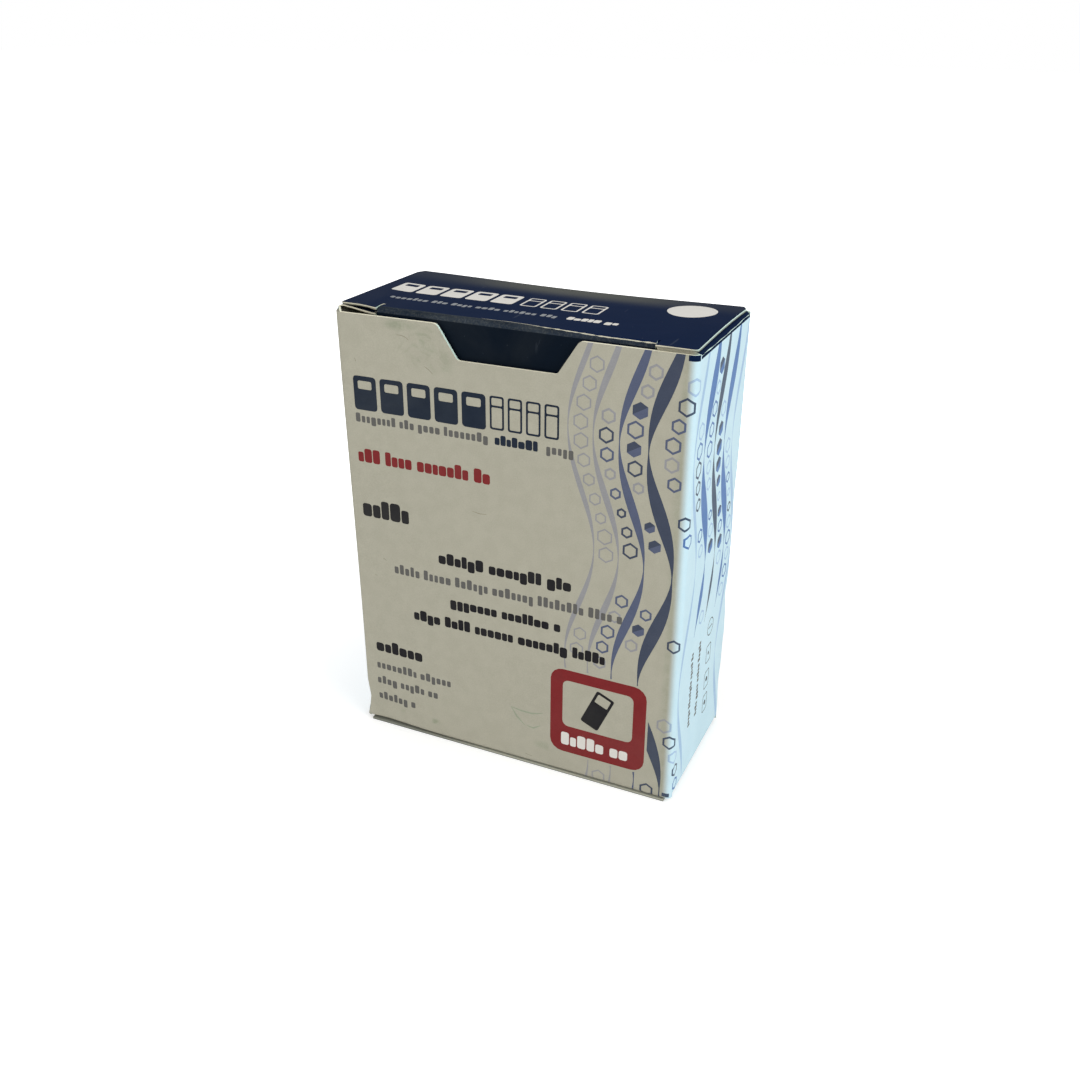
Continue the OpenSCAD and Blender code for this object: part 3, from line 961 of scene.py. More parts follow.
def print_front(sheet, rng):
    """Heading of slide signs, greeked lines, marks and the sign on the front."""
    signs = slide_signs(-28.0, 62.7, 5.9, 5, 4.3, 0.7) + frame_signs(-3.0, 63.0, 5.6, 4, 2.5, 0.65, 0.34)
    for outline, holes in signs:
        sheet.ink("heading", outline, holes)
    # Ink, left and right end, base line, height, letter's width and gap
    rows = (("fine_text", -28.0, -3.0, 60.5, 1.6, 0.75, 0.26),
            ("heading", -2.2, 6.2, 60.5, 1.7, 0.98, 0.13),
            ("fine_text", 6.8, 11.7, 60.5, 1.6, 0.7, 0.26),
            ("red", -28.1, -2.0, 53.3, 2.5, 1.25, 0.15),
            ("text", -28.0, -15.9, 43.1, 3.4, 1.75, 0.2),
            ("text", -13.3, 12.7, 36.9, 2.2, 1.25, 0.15),
            ("fine_text", -22.3, 20.6, 33.0, 1.9, 0.85, 0.28),
            ("text", -11.3, 10.6, 28.8, 2.0, 1.15, 0.14),
            ("text", -18.8, 18.0, 24.5, 2.1, 1.15, 0.14),
            ("text", -27.4, -17.1, 15.7, 2.5, 1.4, 0.18),
            ("fine_text", -27.5, -10.5, 11.9, 1.7, 0.8, 0.28),
            ("fine_text", -27.6, -13.9, 8.6, 1.7, 0.8, 0.28),
            ("fine_text", -27.6, -19.4, 5.1, 1.7, 0.8, 0.28))
    for ink, *where in rows:
        for block in greeked(rng, *where):
            sheet.ink(ink, block)
    # A smeared green mark, and hairline scuffs
    smears = (((0.3, 11.3), (2.2, 11.0), (4.4, 11.0), (6.4, 11.6)),
              ((0.3, 11.3), (1.4, 9.6), (3.0, 8.1)),
              ((3.4, 8.2), (4.6, 8.0), (6.0, 8.9)))
    for points in smears:
        widths = [0.14 + 0.22 * math.sin(math.pi * i / (len(points) - 1)) for i in range(len(points))]
        sheet.ink("green", ribbon(points, widths))
    scuffs = (((-19.3, 76.3), (-18.5, 76.3), (-17.8, 76.1), (-17.2, 75.7)),
              ((-14.5, 71.7), (-13.8, 71.3), (-13.0, 70.6)),
              ((-27.4, 71.6), (-27.2, 71.0)),
              ((-26.5, 31.8), (-26.1, 31.6)),
              ((-6.5, 48.0), (-5.2, 47.8), (-3.9, 47.9)),
              ((3.0, 2.1), (4.4, 1.9)),
              ((-24.6, 35.5), (-23.9, 35.1)))
    for points in scuffs:
        widths = [0.04 + 0.09 * math.sin(math.pi * (i + 0.5) / len(points)) for i in range(len(points))]
        sheet.ink("scuff", ribbon(points, widths))
    print_sign(sheet, rng)


def print_sign(sheet, rng):
    """A red tile with a pale window, a slide in it, and a line of white blocks below."""
    sheet.ink("ground", panel(7.5, 4.5, 25.8, 22.2, 2.6))
    sheet.ink("red", panel(7.9, 4.9, 25.4, 21.8, 2.3), [panel(10.2, 10.4, 23.1, 19.7, 1.1)])
    middle, lean = (16.65, 15.1), -24
    body = turned(panel(14.9, 11.4, 18.4, 18.8, 0.4), middle, lean)
    mark = turned(panel(15.4, 16.5, 17.9, 18.3, 0.2), middle, lean)
    sheet.ink("text", body, [mark])
    for block in greeked(rng, 10.0, 23.6, 6.4, 2.6, 1.35, 0.22):
        sheet.ink("white", block)


def print_side(sheet, plan, rng):
    """Two greeked columns and a column of plain symbols, low on the right side."""
    for y0, height, letter in ((-6.8, 1.2, 0.55), (-2.7, 1.2, 0.6)):
        for block in greeked(rng, 11.0, 26.5, 0, height, letter, 0.16):
            sheet.ink("fine_text", [plan.on_side(y0 + height - p[1], p[0]) for p in block])
    y, line = 3.6, 0.17
    half, tall = 1.3, 1.8
    symbols = []
    for z, dot in ((10.2, 0.5), (15.2, 0.5), (20.6, 0.35)):
        box = panel(y - half, z - tall, y + half, z + tall, 0.5)
        clear = panel(y - half + line, z - tall + line, y + half - line, z + tall - line, 0.4)
        symbols += [(box, [clear]), (circle((y, z), dot, 12), [])]
    z, radius, reach = 26.0, 1.7, 1.1
    symbols.append((circle((y, z), radius), [circle((y, z), radius - line)]))
    symbols.append((ribbon([(y - reach, z), (y + reach, z)], [line, line]), []))
    for outline, holes in symbols:
        sheet.ink("text", laid(plan.on_side, outline), [laid(plan.on_side, hole) for hole in holes])


def print_lid(sheet, plan, rng):
    """White heading, line and disc on the lid."""
    place = plan.on_lid
    signs = slide_signs(-27.5, -2.0, 5.4, 5, 4.0, 0.65) + frame_signs(-3.6, -1.9, 5.0, 4, 2.9, 0.7, 0.32)
    for outline, holes in signs:
        sheet.ink("white", laid(place, outline), [laid(place, hole) for hole in holes])
    rows = (("white_fine", -24.9, 6.0, -6.5, 1.4, 0.75, 0.26), ("white", 6.6, 15.5, -6.5, 1.6, 0.95, 0.13))
    for ink, *where in rows:
        for block in greeked(rng, *where):
            sheet.ink(ink, laid(place, block))
    sheet.ink("white", laid(place, circle((22.85, 6.4), 4.0, 48)))


# ---------------------------------------------------------------- pieces


def lift_dust_flap(plan, u, v):
    """How far a top dust flap lies from its true plane."""
    depth, reach = abs(u) - plan.u_right, v - plan.side_high
    x = math.copysign(plan.x_end + plan.quarter - reach, u)
    sunk = plan.sag(x, depth - plan.y_end) * smooth(0, plan.quarter, reach)
    if u > 0:
        return -sunk
    # The left flap rises at its crease, hangs further in, and its front edge is wavy
    rise, hang, ripple = 0.35, 0.85, 0.08
    waver = ripple * noise.noise(Vector((reach * 0.7, 0, 8.3))) + rise - hang * smooth(1, 6, reach)
    return -sunk + waver * smooth(0, 0.8, reach) * (1 - smooth(0, 9, depth)) * (1 - smooth(7, 13, reach))


def lift_carton(plan):
    """How far the carton's walls stand out from their true planes."""
    bulge = 0.10
    # Depth, place along the blank, height and reach of each knock in a corner crease
    u_rear = plan.u_right_end + 0.8
    front_knocks = ((-0.45, -plan.x_end - 2.4, 4.8, 8.0, 3.8), (0.3, -plan.x_end - 0.8, 1.4, 5.0, 1.8))
    rear_knocks = ((-0.25, u_rear, 28.0, 3.5, 4.0), (0.12, u_rear, 20.5, 3.5, 3.0),
                   (-0.14, u_rear, 47.0, 3.5, 7.0), (-0.2, u_rear, 9.0, 3.5, 5.0))
    lean, lean_foot = 0.73, -0.32

    def knocked(knocks, u, v):
        return [depth * bump(u, v, *where) for depth, *where in knocks]

    def lift(u, v):
        d = 0.0
        inside = 0.0
        if plan.front_low <= v <= plan.side_high + 0.5 * plan.quarter:
            inside = smooth(plan.front_low, 10, v) * (1 - smooth(68, plan.side_high, v))
        if inside and abs(u) < plan.u_right_end and abs(u) <= plan.u_left_end:
            flat = smooth(0, 5, min(abs(abs(u) - plan.x_end), abs(abs(u) - plan.u_right)))
            d += bulge * inside * flat * noise.noise(Vector((u * 0.05, v * 0.045, 1.7)))
        for depth in knocked(front_knocks, u, v):
            d += depth
        # The left corner stands out towards its top and in towards its foot
        held = smooth(plan.side_high, plan.side_high + plan.quarter, v)
        held *= smooth(plan.u_right - 0.8, plan.u_right, abs(u))
        out = lean * smooth(10, 85, v) + lean_foot
        d += out * (1 - smooth(2, 15, abs(u + plan.x_end + 0.8))) * (1 - held)
        for depth in knocked(rear_knocks, u, v):
            d += depth
        if plan.u_right < abs(u) < plan.u_right_end and v > plan.side_high:
            d += lift_dust_flap(plan, u, v)
        return d
    return lift


def dust_flap(plan, sheet, side, high):
    """One dust flap of a side wall, at its top or bottom."""
    k, y_back = plan.kerf, plan.y_end if side > 0 else plan.y_end - plan.thickness
    tip = plan.x_side - (plan.dust_length if high else plan.base_dust_length)
    y_tip = plan.y_end - plan.dust_slant
    if high:
        x_step = plan.x_fold + plan.dust_play
        y_step = plan.y_tuck + plan.thickness + plan.dust_play
        x_heel = plan.x_end - plan.dust_slant
        corners = [(plan.x_end, -plan.y_end + k), (plan.x_end, y_back - k), (x_heel, y_back - k),
                   (tip, y_tip), (tip, y_step + plan.dust_slant), (x_heel - plan.dust_slant, y_step),
                   (x_step, y_step), (x_step, -plan.y_end + k)]
        radii = [0, 0, 0, plan.dust_corner, plan.dust_corner, 0, 0, 0]
    else:
        corners = [(plan.x_end, -plan.y_end + k), (plan.x_end, y_back - k), (tip, y_tip), (tip, -y_tip)]
        radii = [0, 0, plan.dust_corner, plan.dust_corner]
    start = plan.side_high if high else plan.side_low
    way = 1 if high else -1
    outline = [(side * (plan.u_right + y + plan.y_end), start + way * (plan.quarter + plan.x_end - x))
               for x, y in rounded(corners, radii)]
    # The crease lies between the wall and the flap
    near, far = side * (plan.u_right + k), side * (plan.u_right + y_back + plan.y_end - k)
    sheet.board([(near, start), (far, start)] + outline[1:] + outline[:1])
    sheet.crease((near, start), (far, start), (0, way * plan.quarter))
    us, vs = zip(*outline)
    sheet.grid(min(us) + 1, min(vs) + 1, max(us) - 1, max(vs) - 1)


def corner_strip(plan, sheet, u0, u1, low, high, left_levels, right_levels, rise=0.0):
    """A corner crease, cut free of its neighbours beyond their levels. Its left side may rise higher."""
    k = plan.kerf
    (foot0, top0), (foot1, top1) = left_levels, right_levels
    sheet.board([(u0 + k, low), (u1 - k, low), (u1 - k, foot1), (u1, foot1), (u1, top1), (u1 - k, top1),
                 (u1 - k, high), (u0 + k, high + rise), (u0 + k, top0), (u0, top0), (u0, foot0),
                 (u0 + k, foot0)])
    steps, rows = 8, 40
    for i in range(steps + 1):
        u = u0 + (u1 - u0) * i / steps
        foot, top = left_levels if i == 0 else right_levels if i == steps else (low, high)
        if 0 < i < steps:
            sheet.line((u, low), (u, high))
        sheet.points += [Vector((u, foot + (top - foot) * j / rows)) for j in range(1, rows)]


def cut_front(plan, sheet):
    """The front wall with the thumb notch, and the inner bottom flap that runs on from it."""
    x_end, k, low = plan.x_end, plan.kerf, plan.front_low
    lip, foot = plan.notch_top / 2, plan.notch_floor / 2
    z_top, z_foot = plan.z_front_top, plan.z_front_top - plan.notch_depth
    notch = [(lip, z_top), (foot, z_foot), (-foot, z_foot), (-lip, z_top)]
    radii = [plan.notch_lip, plan.notch_floor_radius, plan.notch_floor_radius, plan.notch_lip]
    wall = rounded([(-x_end, low), (x_end, low), (x_end, z_top)] + notch + [(-x_end, z_top)],
                   [0, 0, 0] + radii + [0], 6)
    # The whole top edge settles with the board, the notch with it
    sheet.board([(x, z - plan.drop(x) if z > plan.height * 0.75 else z) for x, z in wall])
    sheet.grid(-x_end + 0.5, low + 0.5, x_end - 0.5, z_top - 0.5)
    span = plan.quarter + (plan.y_back - plan.thickness - plan.flap_gap + plan.y_end)
    tip = x_end - plan.base_taper
    sheet.board([(-x_end + k, low), (x_end - k, low), (tip, low - span), (-tip, low - span)])
    sheet.crease((-x_end + k, low), (x_end - k, low), (0, -plan.quarter))


def cut_back(plan, sheet):
    """The back wall, its raw edge over the glue flap, and the outer bottom flap."""
    u0, u1, k, low, z_top = plan.u_back, plan.u_back_end, plan.kerf, plan.back_low, plan.z_front_top
    sheet.board([(u0, low), (u1, low), (u1, plan.z_fold), (u0, plan.z_fold)])
    sheet.board([(u1, plan.z_floor), (plan.u_seam, plan.z_floor), (plan.u_seam, z_top), (u1, z_top)])
    sheet.grid(u0 + 0.5, low + 0.5, u1 - 0.5, plan.z_fold - 0.5)
    sheet.join((u0, plan.z_fold), (u1, plan.z_fold))
    span = plan.quarter + plan.y_end - plan.y_front - plan.base_inset
    sheet.board([(u0 + k, low), (u1 - k, low), (u1 - plan.base_taper, low - span),
                 (u0 + plan.base_taper, low - span)])
    sheet.crease((u0 + k, low), (u1 - k, low), (0, -plan.quarter))


def cut_sides(plan, sheet):
    """The side walls with their dust flaps."""
    for side, end in ((1, plan.u_right_end), (-1, plan.u_left_end)):
        u0, u1 = sorted((side * plan.u_right, side * end))
        sheet.board([(u0, plan.side_low), (u1, plan.side_low), (u1, plan.side_high), (u0, plan.side_high)])
        sheet.grid(u0 + 0.5, plan.side_low + 0.5, u1 - 0.5, plan.side_high - 0.5)
        for high in (True, False):
            dust_flap(plan, sheet, side, high)


def cut_corners(plan, sheet):
    """The corner creases and the glue flap."""
    low, z_top, z_left = plan.z_base, plan.z_front_top, plan.z_front_top - plan.drop(-plan.x_end)
    side, back = (plan.side_low, plan.side_high), (plan.back_low, plan.z_fold)
    front, front_left = (plan.front_low, z_top), (plan.front_low, z_left)
    glue, peak = (plan.z_floor, plan.side_high), 0.45
    corner_strip(plan, sheet, plan.x_end, plan.u_right, low, z_top, front, side)
    corner_strip(plan, sheet, -plan.u_right, -plan.x_end, low, z_left, side, front_left, peak)
    corner_strip(plan, sheet, plan.u_right_end, plan.u_back, low, z_top, side, back)
    corner_strip(plan, sheet, -plan.u_glue, -plan.u_left_end, plan.z_floor, z_top, glue, side)
    sheet.board([(-plan.u_glue, plan.z_floor), (-plan.u_glue, plan.side_high),
                 (-plan.u_glue_end, plan.side_high - plan.glue_slant),
                 (-plan.u_glue_end, plan.z_floor + plan.glue_slant)])


def cut_carton(plan, sheet):
    """Walls, creases and flaps of the blank, laid out flat."""
    for cut in (cut_front, cut_sides, cut_back, cut_corners):
        cut(plan, sheet)


def frayed(place, steps, mean, spread, pitch, seed):
    """A line of bare fibres, whose place is given for each step and whose width varies at random. It also
    draws a painted highlight along the right crease.
    """
    widths = [max(0.02, mean + spread * noise.noise(Vector((i * pitch, *seed)))) for i in range(steps)]
    return ribbon([place(i) for i in range(steps)], widths)


def print_carton(plan, sheet):
    """All print on the walls, in the order in which it lies."""
    rng = random.Random(11)
    print_waves(sheet, plan, rng)
    print_front(sheet, rng)
    print_side(sheet, plan, rng)
    # Navy bleeds from the dust flaps, and a little over the top of the front corner and the back wall
    past_flap, past_wall = 110, 90    # levels beyond the dust flaps' tips and the back wall's top
    for side, end in ((1, plan.u_right_end), (-1, plan.u_left_end)):
        u0, u1 = sorted((side * plan.u_right, side * end))
        sheet.ink("navy", panel(u0, plan.side_high, u1, past_flap))

    # Painted highlight: a thin pale line along the right dust flap's rounded crease, in the bare fibres' ink
    def along_right(i):
        return plan.u_right + 0.3 * i, plan.side_high + 0.42 + 0.12 * noise.noise(Vector((i * 0.06, 5, 0)))

    def up_left(i):
        return -plan.u_right - 0.3, plan.side_high + 1.4 + 0.15 * i

    sheet.ink("wear_and_highlight", frayed(along_right, 86, 0.08, 0.1, 0.11, (0, 9)))
    sheet.ink("wear_and_highlight", frayed(up_left, 40, 0.15, 0.5, 0.23, (3, 0)))
    sheet.ink("slate_deep", panel(28.9, 1.15, plan.x_end + 0.7, 1.95))
    sheet.ink("navy", panel(28.9, 78.3, plan.x_end + 1.3, 81))
    sheet.ink("navy", panel(plan.u_back, plan.z_fold - 0.4, plan.u_seam, past_wall))


def make_carton(settings, materials):
    """The folded blank of the carton."""
    plan = Plan(settings)
    pressed = 0.45

    def crush(u, v):
        # The left dust flap's front edge is pressed thin
        if u >= -plan.u_right or v <= plan.side_high:
            return 0.0
        return pressed * (1 - smooth(0.3, 1.0, -u - plan.u_right))

    sheet = Sheet(plan.fold_carton, lift_carton(plan), plan.thickness - plan.glue_film, crush)
    cut_carton(plan, sheet)
    print_carton(plan, sheet)
    return sheet.build("carton_blank", materials, "ground")


def lift_lid(plan):
    """The lid's crown, its sunken back crease and its left end tab, which is sprung up."""
    crown, spring = 0.22, 0.25

    def lift(u, v):
        x, y = -u, plan.y_end - (v - plan.quarter)
        if v < plan.quarter:
            return -plan.sag(x, plan.y_end) * math.sin(v / plan.crease_radius)
        free = smooth(0, 3, v - plan.quarter)
        d = crown * free * smooth(20, 30, x) * math.sin(math.pi * min(1, max(0, (plan.y_end - y) / 25)))
        forward = (plan.y_end - y) / (plan.y_end - plan.y_tab)
        d += spring * smooth(plan.x_slit - 0.2, plan.x_slit + 2.6, -x) * forward
        return d - plan.sag(x, y)
    return lift


def wear_lid(plan, sheet, y_slit):
    """Torn fibres at the left slit's end, and rubbed ink before the crease with a line of bare fibres."""
    tear = [(-0.14, -0.03), (0.13, -0.03), (0.2, 0.5), (0.5, 0.62), (0.16, 0.78), (-0.1, 0.95), (-0.06, 0.4)]
    sheet.ink("wear_and_highlight", [plan.on_lid(-plan.x_slit + x, y_slit + y) for x, y in tear])
    points = laid(plan.on_lid, ((-5.2, -11.62), (-3.7, -11.6), (-2.0, -11.5), (-0.4, -11.5), (1.2, -11.58),
                                (2.6, -11.68), (4.0, -11.8), (5.2, -11.95)))
    # The rubbed patch ends beyond the board, so that its outline doesn't cross itself
    beyond = -12.2
    start = laid(plan.on_lid, ((-23.6, beyond), (-23.6, -11.95), (-16, -11.75), (-10, -11.8)))
    sheet.ink("navy_worn", start + points + [plan.on_lid(5.2, beyond)])
    sheet.ink("wear_and_highlight", ribbon(points, (0.03, 0.1, 0.06, 0.13, 0.1, 0.16, 0.12, 0.14)))


def make_lid(settings, materials):
    """The lid panel, with the crease along its back and a slit at either end of its front crease."""
    plan = Plan(settings)
    y_left = plan.y_tab + 0.65    # the left end tab is worn back
    pressed = 0.32

    def crush(u, v):
        # The end tabs' front edges are pressed thin
        x, y = -u, plan.y_end - (v - plan.quarter)
        edge = y_left if x < 0 else plan.y_tab
        return pressed * smooth(plan.x_slit, plan.x_slit + 0.4, abs(x)) * (1 - smooth(edge, edge + 0.8, y))

    sheet = Sheet(plan.fold_lid, lift_lid(plan), plan.thickness - plan.glue_film, crush)
    x_hinge = plan.x_end - plan.crease_play
    x_tab = plan.x_slit + plan.slit_width / 2
    x_fold, y_slit, y_relief = plan.x_fold, plan.y_fold + plan.slit_run, plan.y_end - plan.lid_relief
    corners = [(x_hinge, plan.y_end), (plan.x_lid, y_relief), (plan.x_lid, plan.y_tab), (x_tab, plan.y_tab),
               (x_tab, y_slit), (x_fold, y_slit), (x_fold, plan.y_fold), (-x_fold, plan.y_fold),
               (-x_fold, y_slit), (-x_tab, y_slit), (-x_fold - 0.06, y_left), (-plan.x_lid + 0.05, y_left),
               (-plan.x_lid, y_relief), (-x_hinge, plan.y_end)]
    radii = [0, 0, plan.crease_radius / 2] + [0] * 8 + [plan.crease_radius / 2, 0, 0]
    sheet.board(laid(plan.on_lid, divided(rounded(corners, radii), 1.5)))
    sheet.board([(-x_hinge, 0), (x_hinge, 0), (x_hinge, plan.quarter), (-x_hinge, plan.quarter)])
    sheet.crease((-x_hinge, 0), (x_hinge, 0), (0, plan.quarter))
    sheet.grid(-plan.x_lid + 0.9, plan.quarter + 0.6, plan.x_lid - 0.6,
               plan.quarter + plan.y_end - plan.y_tab - 1.2, 1.3)
    wear_lid(plan, sheet, y_slit)
    fold = plan.on_lid(0, plan.y_fold).y
    sheet.join((-x_hinge, 0), (x_hinge, 0))
    sheet.join((-x_fold, fold), (x_fold, fold))
    # The right slit is closed, and shows no bare edge
    slit = [(x_fold, plan.y_fold), (x_fold, y_slit), (x_tab, y_slit), (x_tab, plan.y_tab)]
    for start, end in zip(slit, slit[1:]):
        sheet.join(plan.on_lid(*start), plan.on_lid(*end))
    print_lid(sheet, plan, random.Random(5))
    return sheet.build("lid_panel", {**materials, "raw": materials["raw_lid"]}, "lid_navy")


def wear_tuck(plan, sheet):
    """The line of bare fibres, which runs on down the crease, the rubbed ink below it, and small marks."""
    start, steps = 3.6, 110
    points, widths = [], []
    for i in range(steps):
        x = start + (plan.x_fold - 0.05 - start) * i / (steps - 1)
        shaken = 0.04 * noise.noise(Vector((x * 0.6, 0, 3)))
        points.append(Vector((-x, 0.04 + 0.56 * smooth(start - 3, 17, x) + shaken)))
        width = max(0.06, 0.2 + 0.2 * noise.noise(Vector((x * 1.1, 7, 0))))
        widths.append(width * smooth(start - 0.5, start + 2, x))
    beyond, top, foot = plan.x_fold + 0.1, -0.2, 0.86 * plan.quarter
    sheet.ink("navy", panel(-plan.x_fold, 0, plan.x_fold, 0.7))
    sheet.ink("navy_worn", [(beyond, top), (-start, top)] + points + [(-beyond, foot), (beyond, foot)])
    sheet.ink("wear_and_highlight", ribbon(points, widths))
    scratch = laid(plan.on_tuck, ((5.3, 78.4), (5.05, 77.7), (4.7, 77.0)))
    sheet.ink("navy_worn", ribbon(scratch, (0.02, 0.06, 0.02)))
    for x, z, radius in ((-0.3, 76.7, 0.09), (-4.5, 74.9, 0.06), (8.7, 77.8, 0.07), (-7.7, 77.2, 0.06),
                         (3.1, 75.2, 0.05)):
        sheet.ink("navy_worn", laid(plan.on_tuck, circle((x, z), radius, 8)))


def make_tuck(settings, materials):
    """The tuck flap, with the crease along its top and its shoulders."""
    plan = Plan(settings)
    sheet = Sheet(plan.fold_tuck, lambda u, v: 0.0, plan.thickness - plan.glue_film)
    x_fold, q = plan.x_fold, plan.quarter
    right = [(x_fold, plan.z_fold), (x_fold, plan.z_shoulder), (plan.x_tuck, plan.z_shoulder),
             (plan.x_tuck, plan.z_tip)]
    radii = [0, 0, plan.crease_radius / 2, plan.tuck_corner]
    sheet.board(laid(plan.on_tuck, rounded(right + mirrored(right), radii + radii[::-1], 8)))
    sheet.board(panel(-x_fold, 0, x_fold, q))
    sheet.crease((-x_fold, 0), (x_fold, 0), (0, q))
    sheet.grid(-plan.x_tuck, q + 0.5, plan.x_tuck, q + plan.z_fold - plan.z_tip - 0.5)
    sheet.join((-x_fold, 0), (x_fold, 0))
    wear_tuck(plan, sheet)
    return sheet.build("tuck_panel", {**materials, "raw": materials["raw_lid"]}, "navy_shade")


def glass_material(settings):
    """Clear glass whose narrow faces and bevels are ground."""
    material, tree, place = new_material("slide_glass")
    normal = tree.split(tree.add("ShaderNodeNewGeometry").outputs["True Normal"])
    edge = tree.ramp(tree.maths("ABSOLUTE", normal[0]), 0.8, 0.95, 1, 0)
    grit = tree.noise(place, 5000, 3)
    base = tree.mix(edge, settings.tint, settings.ground)
    base = tree.mix(tree.product(edge, tree.ramp(grit, 0.3, 0.7, 0, 0.25)), base, (0.45, 0.6, 0.54))
    rough = tree.maths("ADD", tree.product(edge, 0.45), 0.03)
    smear = tree.ramp(tree.noise(place, 120, 4, 0.6), 0.55, 0.8, 0, 0.08)
    shader = tree.add("ShaderNodeBsdfPrincipled", {
        "Base Color": base, "Roughness": tree.maths("ADD", rough, smear), "IOR": 1.52,
        "Transmission Weight": tree.ramp(edge, 0, 1, 0.94, 0.4)})
    tree.finish(shader.outputs[0])
    return material


def coat_material(settings):
    """Matt white coating with a faint grain."""
    material, tree, place = new_material("marking_coat")
    grain = tree.noise(place, 2600, 3)
    base = tree.mix(tree.ramp(grain, 0.3, 0.7, 0, 0.12), settings.coat, (0.55, 0.55, 0.5))
    tree.surface(base, 0.62, grain, 0.2, 0.01)
    return material


def coat_tree(material):
    """Geometry nodes: one coat patch for each slide, in a row along X."""
    tree = bpy.data.node_groups.new("coat_row", "GeometryNodeTree")
    sockets = {}
    tree.interface.new_socket("Geometry", in_out="OUTPUT", socket_type="NodeSocketGeometry")
    for name, kind, default in (("Count", "NodeSocketInt", 50), ("Pitch", "NodeSocketFloat", 1.19 * MM),
                                ("Start", "NodeSocketVector", (0, 0, 0)),
                                ("Patch", "NodeSocketVector", (1, 1, 1))):
        socket = tree.interface.new_socket(name, in_out="INPUT", socket_type=kind)
        socket.default_value = default
        sockets[name] = socket.identifier
    build = Tree(tree)
    given = build.add("NodeGroupInput").outputs
    step = build.add("ShaderNodeCombineXYZ", {"X": given["Pitch"]}).outputs[0]
    row = build.add("GeometryNodeMeshLine", {"Count": given["Count"], "Start Location": given["Start"],
                                             "Offset": step}, mode="OFFSET").outputs[0]
    patch = build.add("GeometryNodeMeshCube", {"Size": given["Patch"]}).outputs[0]
    placed = build.add("GeometryNodeInstanceOnPoints", {"Points": row, "Instance": patch}).outputs[0]
    real = build.add("GeometryNodeRealizeInstances", {"Geometry": placed}).outputs[0]
    done = build.add("GeometryNodeSetMaterial", {"Geometry": real, "Material": material}).outputs[0]
    build.add("NodeGroupOutput", {"Geometry": done})
    return tree, sockets


def plain_mesh(thing):
    """Turns an object's evaluated geometry into its own plain mesh, and takes its modifiers off."""
    made = bpy.data.meshes.new_from_object(thing.evaluated_get(bpy.context.evaluated_depsgraph_get()))
    thing.modifiers.clear()
    thing.data = made
    return thing


# ---------------------------------------------------------------- operators


class SLIDEBOX_OT_carton(bpy.types.Operator):
    """Make the carton's folded blank and its print."""
    bl_idname = "slidebox.carton"
    bl_label = "Carton Blank"

    def execute(self, context):
        settings = context.scene
        piece = make_carton(settings.slidebox_board, board_materials(context))
        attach(piece, "carton")
        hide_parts("carton")
        return {"FINISHED"}


class SLIDEBOX_OT_lid(bpy.types.Operator):
    """Make the lid, which bends at the crease along the back."""
    bl_idname = "slidebox.lid"
    bl_label = "Lid"

    def execute(self, context):
        board = context.scene.slidebox_board
        plan = Plan(board)
        piece = make_lid(board, board_materials(context))
        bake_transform(piece)
        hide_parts("lid")
        return {"FINISHED"}


class SLIDEBOX_OT_tuck(bpy.types.Operator):
    """Make the tuck flap, which bends at the crease along the lid's front."""
    bl_idname = "slidebox.tuck"
    bl_label = "Tuck Flap"

    def execute(self, context):
        board = context.scene.slidebox_board
        plan = Plan(board)
        piece = make_tuck(board, board_materials(context))
        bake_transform(piece)
        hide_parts("tuck_flap")
        return {"FINISHED"}


class SLIDEBOX_OT_slides(bpy.types.Operator):
    """Give the glass slides their finish, and coat their marking areas."""
    bl_idname = "slidebox.slides"
    bl_label = "Glass Slides"

    def execute(self, context):
        settings = context.scene.slidebox_glass
        glass = glass_material(settings)
        for name in SLIDES:
            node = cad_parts[name]
            node.data.materials.clear()
            node.data.materials.append(glass)
        coat = coat_material(settings)
        tree, sockets = coat_tree(coat)
        first_low, first_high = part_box(SLIDES[0])
        next_low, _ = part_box(SLIDES[1])
        lowest_top = min(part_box(name)[1].z for name in SLIDES)
        middle, size = (first_low.y + first_high.y) / 2, first_high - first_low
        thickness, margin, height = settings.coat_thickness, settings.coat_margin, settings.coat_length
        away = 0.6 * thickness    # from the glass to the middle of the coat
        thing = linked("marking_coats", bpy.data.meshes.new("marking_coats"))
        row = thing.modifiers.new("Row of coats", "NODES")
        row.node_group = tree
        row[sockets["Count"]] = len(SLIDES)
        row[sockets["Pitch"]] = next_low.x - first_low.x
        row[sockets["Start"]] = (first_low.x - away, middle, lowest_top - margin - height / 2)
        row[sockets["Patch"]] = (thickness, size.y - 2 * margin, height)
        plain_mesh(thing)
        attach(thing, "carton")
        return {"FINISHED"}


class SLIDEBOX_OT_stage(bpy.types.Operator):
    """Set the floor, the lamps and the camera."""
    bl_idname = "slidebox.stage"
    bl_label = "Stage"

    def execute(self, context):
        stage = context.scene.slidebox_stage
        make_floor(stage)
        make_world(context.scene, stage)
        make_lamps(stage)
        make_camera(context.scene, stage)
        context.scene.view_settings.view_transform = "Standard"
        return {"FINISHED"}


BOARD_MATERIALS = {}


def board_materials(context):
    """The board's materials, made once and shared by its sheets."""
    if not BOARD_MATERIALS:
        plan = Plan(context.scene.slidebox_board)
        BOARD_MATERIALS.update(make_materials(plan, context.scene.slidebox_print))
    return BOARD_MATERIALS


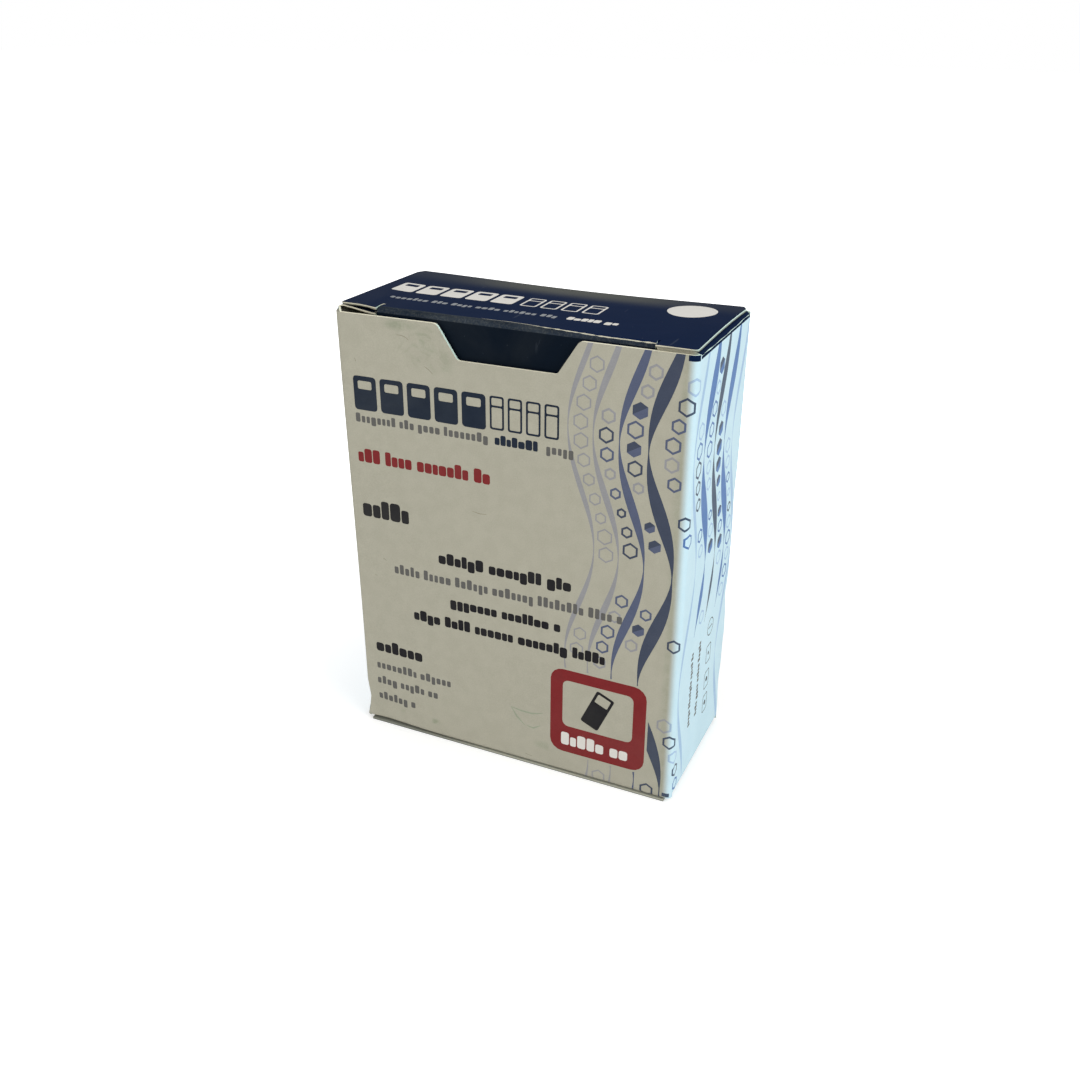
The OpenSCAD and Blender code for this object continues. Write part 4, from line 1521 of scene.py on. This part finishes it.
def make_floor(stage):
    """A plain pale floor, which the camera sees as white away from the carton."""
    half = 2.0
    mesh = bpy.data.meshes.new("floor")
    corners = [(-half, -half, 0), (half, -half, 0), (half, half, 0), (-half, half, 0)]
    mesh.from_pydata(corners, [], [range(4)])
    floor = linked("floor", mesh)
    material, tree, place = new_material("floor")
    grain = tree.ramp(tree.noise(place, 900, 2), 0.3, 0.7, 0, 0.03)
    paper = tree.mix(grain, stage.floor, shaded(stage.floor, 0.9))
    paper = tree.add("ShaderNodeBsdfDiffuse", {"Color": paper}).outputs[0]
    away = tree.vector("LENGTH", place)
    strength = tree.product(seen_directly(tree),
                            tree.ramp(away, stage.glow_start, stage.glow_end, stage.floor_glow, 1.0))
    glow = tree.add("ShaderNodeEmission", {"Strength": strength}).outputs[0]
    tree.finish(tree.add("ShaderNodeAddShader", {0: paper, 1: glow}).outputs[0])
    mesh.materials.append(material)


def seen_directly(tree):
    """1 for rays from the camera, or that pass through glass, and 0 for the rest."""
    path = tree.add("ShaderNodeLightPath").outputs
    return tree.maths("ADD", path["Is Camera Ray"], path["Is Transmission Ray"], clamp=True)


def make_world(scene, stage):
    """Even white light from all round, which the camera sees as plain white."""
    world = bpy.data.worlds.new("studio")
    world.use_nodes = True
    scene.world = world
    tree = Tree(world.node_tree)
    strength = tree.add("ShaderNodeMapRange", {"Value": seen_directly(tree), "To Min": stage.world,
                                               "To Max": 1.0}).outputs[0]
    sky = tree.add("ShaderNodeBackground", {"Color": (1, 1, 1), "Strength": strength}).outputs[0]
    tree.add("ShaderNodeOutputWorld", {"Surface": sky})


def make_lamps(stage):
    """Three wide soft lamps aimed at the carton's middle."""
    low, high = CAD_BOX
    centre = (low + high) / 2
    for name, power, place, size in (("key", stage.key, (0.42, -0.10, 0.30), 0.35),
                                     ("front", stage.front, (-0.22, -0.50, 0.30), 0.40),
                                     ("top", stage.top, (0.05, -0.05, 0.62), 0.45)):
        lamp = bpy.data.lights.new(name, "AREA")
        lamp.energy = power
        lamp.size = size
        thing = linked(name, lamp)
        thing.location = place
        thing.rotation_euler = (centre - Vector(place)).to_track_quat("-Z", "Y").to_euler()


def make_camera(scene, stage):
    """The camera, aimed at its target from the given turn and height, and rolled."""
    data = bpy.data.cameras.new("camera")
    data.lens = stage.lens
    data.sensor_width = 36
    data.clip_start, data.clip_end = 0.01, 10
    camera = linked("camera", data)
    az, el = stage.azimuth, stage.elevation
    back = Vector((math.sin(az) * math.cos(el), -math.cos(az) * math.cos(el), math.sin(el)))
    right = Vector((0, 0, 1)).cross(back).normalized()
    up = back.cross(right)
    rolled = right * math.cos(stage.roll) + up * math.sin(stage.roll)
    raised = up * math.cos(stage.roll) - right * math.sin(stage.roll)
    camera.matrix_world = Matrix((rolled, raised, back)).transposed().to_4x4()
    camera.location = Vector(stage.target) + back * stage.distance
    scene.camera = camera


class SLIDEBOX_PT_panel(bpy.types.Panel):
    """Sidebar panel with the carton's settings and steps."""
    bl_idname = "SLIDEBOX_PT_panel"
    bl_label = "Slide Carton"
    bl_space_type = "VIEW_3D"
    bl_region_type = "UI"
    bl_category = "Slide Carton"

    def draw(self, context):
        for operator in OPERATORS:
            self.layout.operator(operator.bl_idname)
        for attribute, group in SETTINGS:
            box = self.layout.box()
            box.label(text=group.__doc__)
            for name in group.__annotations__:
                box.prop(getattr(context.scene, attribute), name)


SETTINGS = [("slidebox_board", BoardSettings), ("slidebox_print", PrintSettings),
            ("slidebox_glass", GlassSettings), ("slidebox_stage", StageSettings)]
OPERATORS = [SLIDEBOX_OT_stage, SLIDEBOX_OT_carton, SLIDEBOX_OT_lid, SLIDEBOX_OT_tuck, SLIDEBOX_OT_slides]


def register():
    for attribute, group in SETTINGS:
        bpy.utils.register_class(group)
        setattr(bpy.types.Scene, attribute, PointerProperty(type=group))
    for cls in [*OPERATORS, SLIDEBOX_PT_panel]:
        bpy.utils.register_class(cls)


def unregister():
    for cls in [SLIDEBOX_PT_panel, *OPERATORS]:
        bpy.utils.unregister_class(cls)
    for attribute, group in SETTINGS:
        delattr(bpy.types.Scene, attribute)
        bpy.utils.unregister_class(group)


def main():
    register()
    bpy.ops.slidebox.stage()
    bpy.ops.slidebox.carton()
    bpy.ops.slidebox.lid()
    bpy.ops.slidebox.tuck()
    bpy.ops.slidebox.slides()
    bpy.context.view_layer.update()


if __name__ == "__main__":
    main()
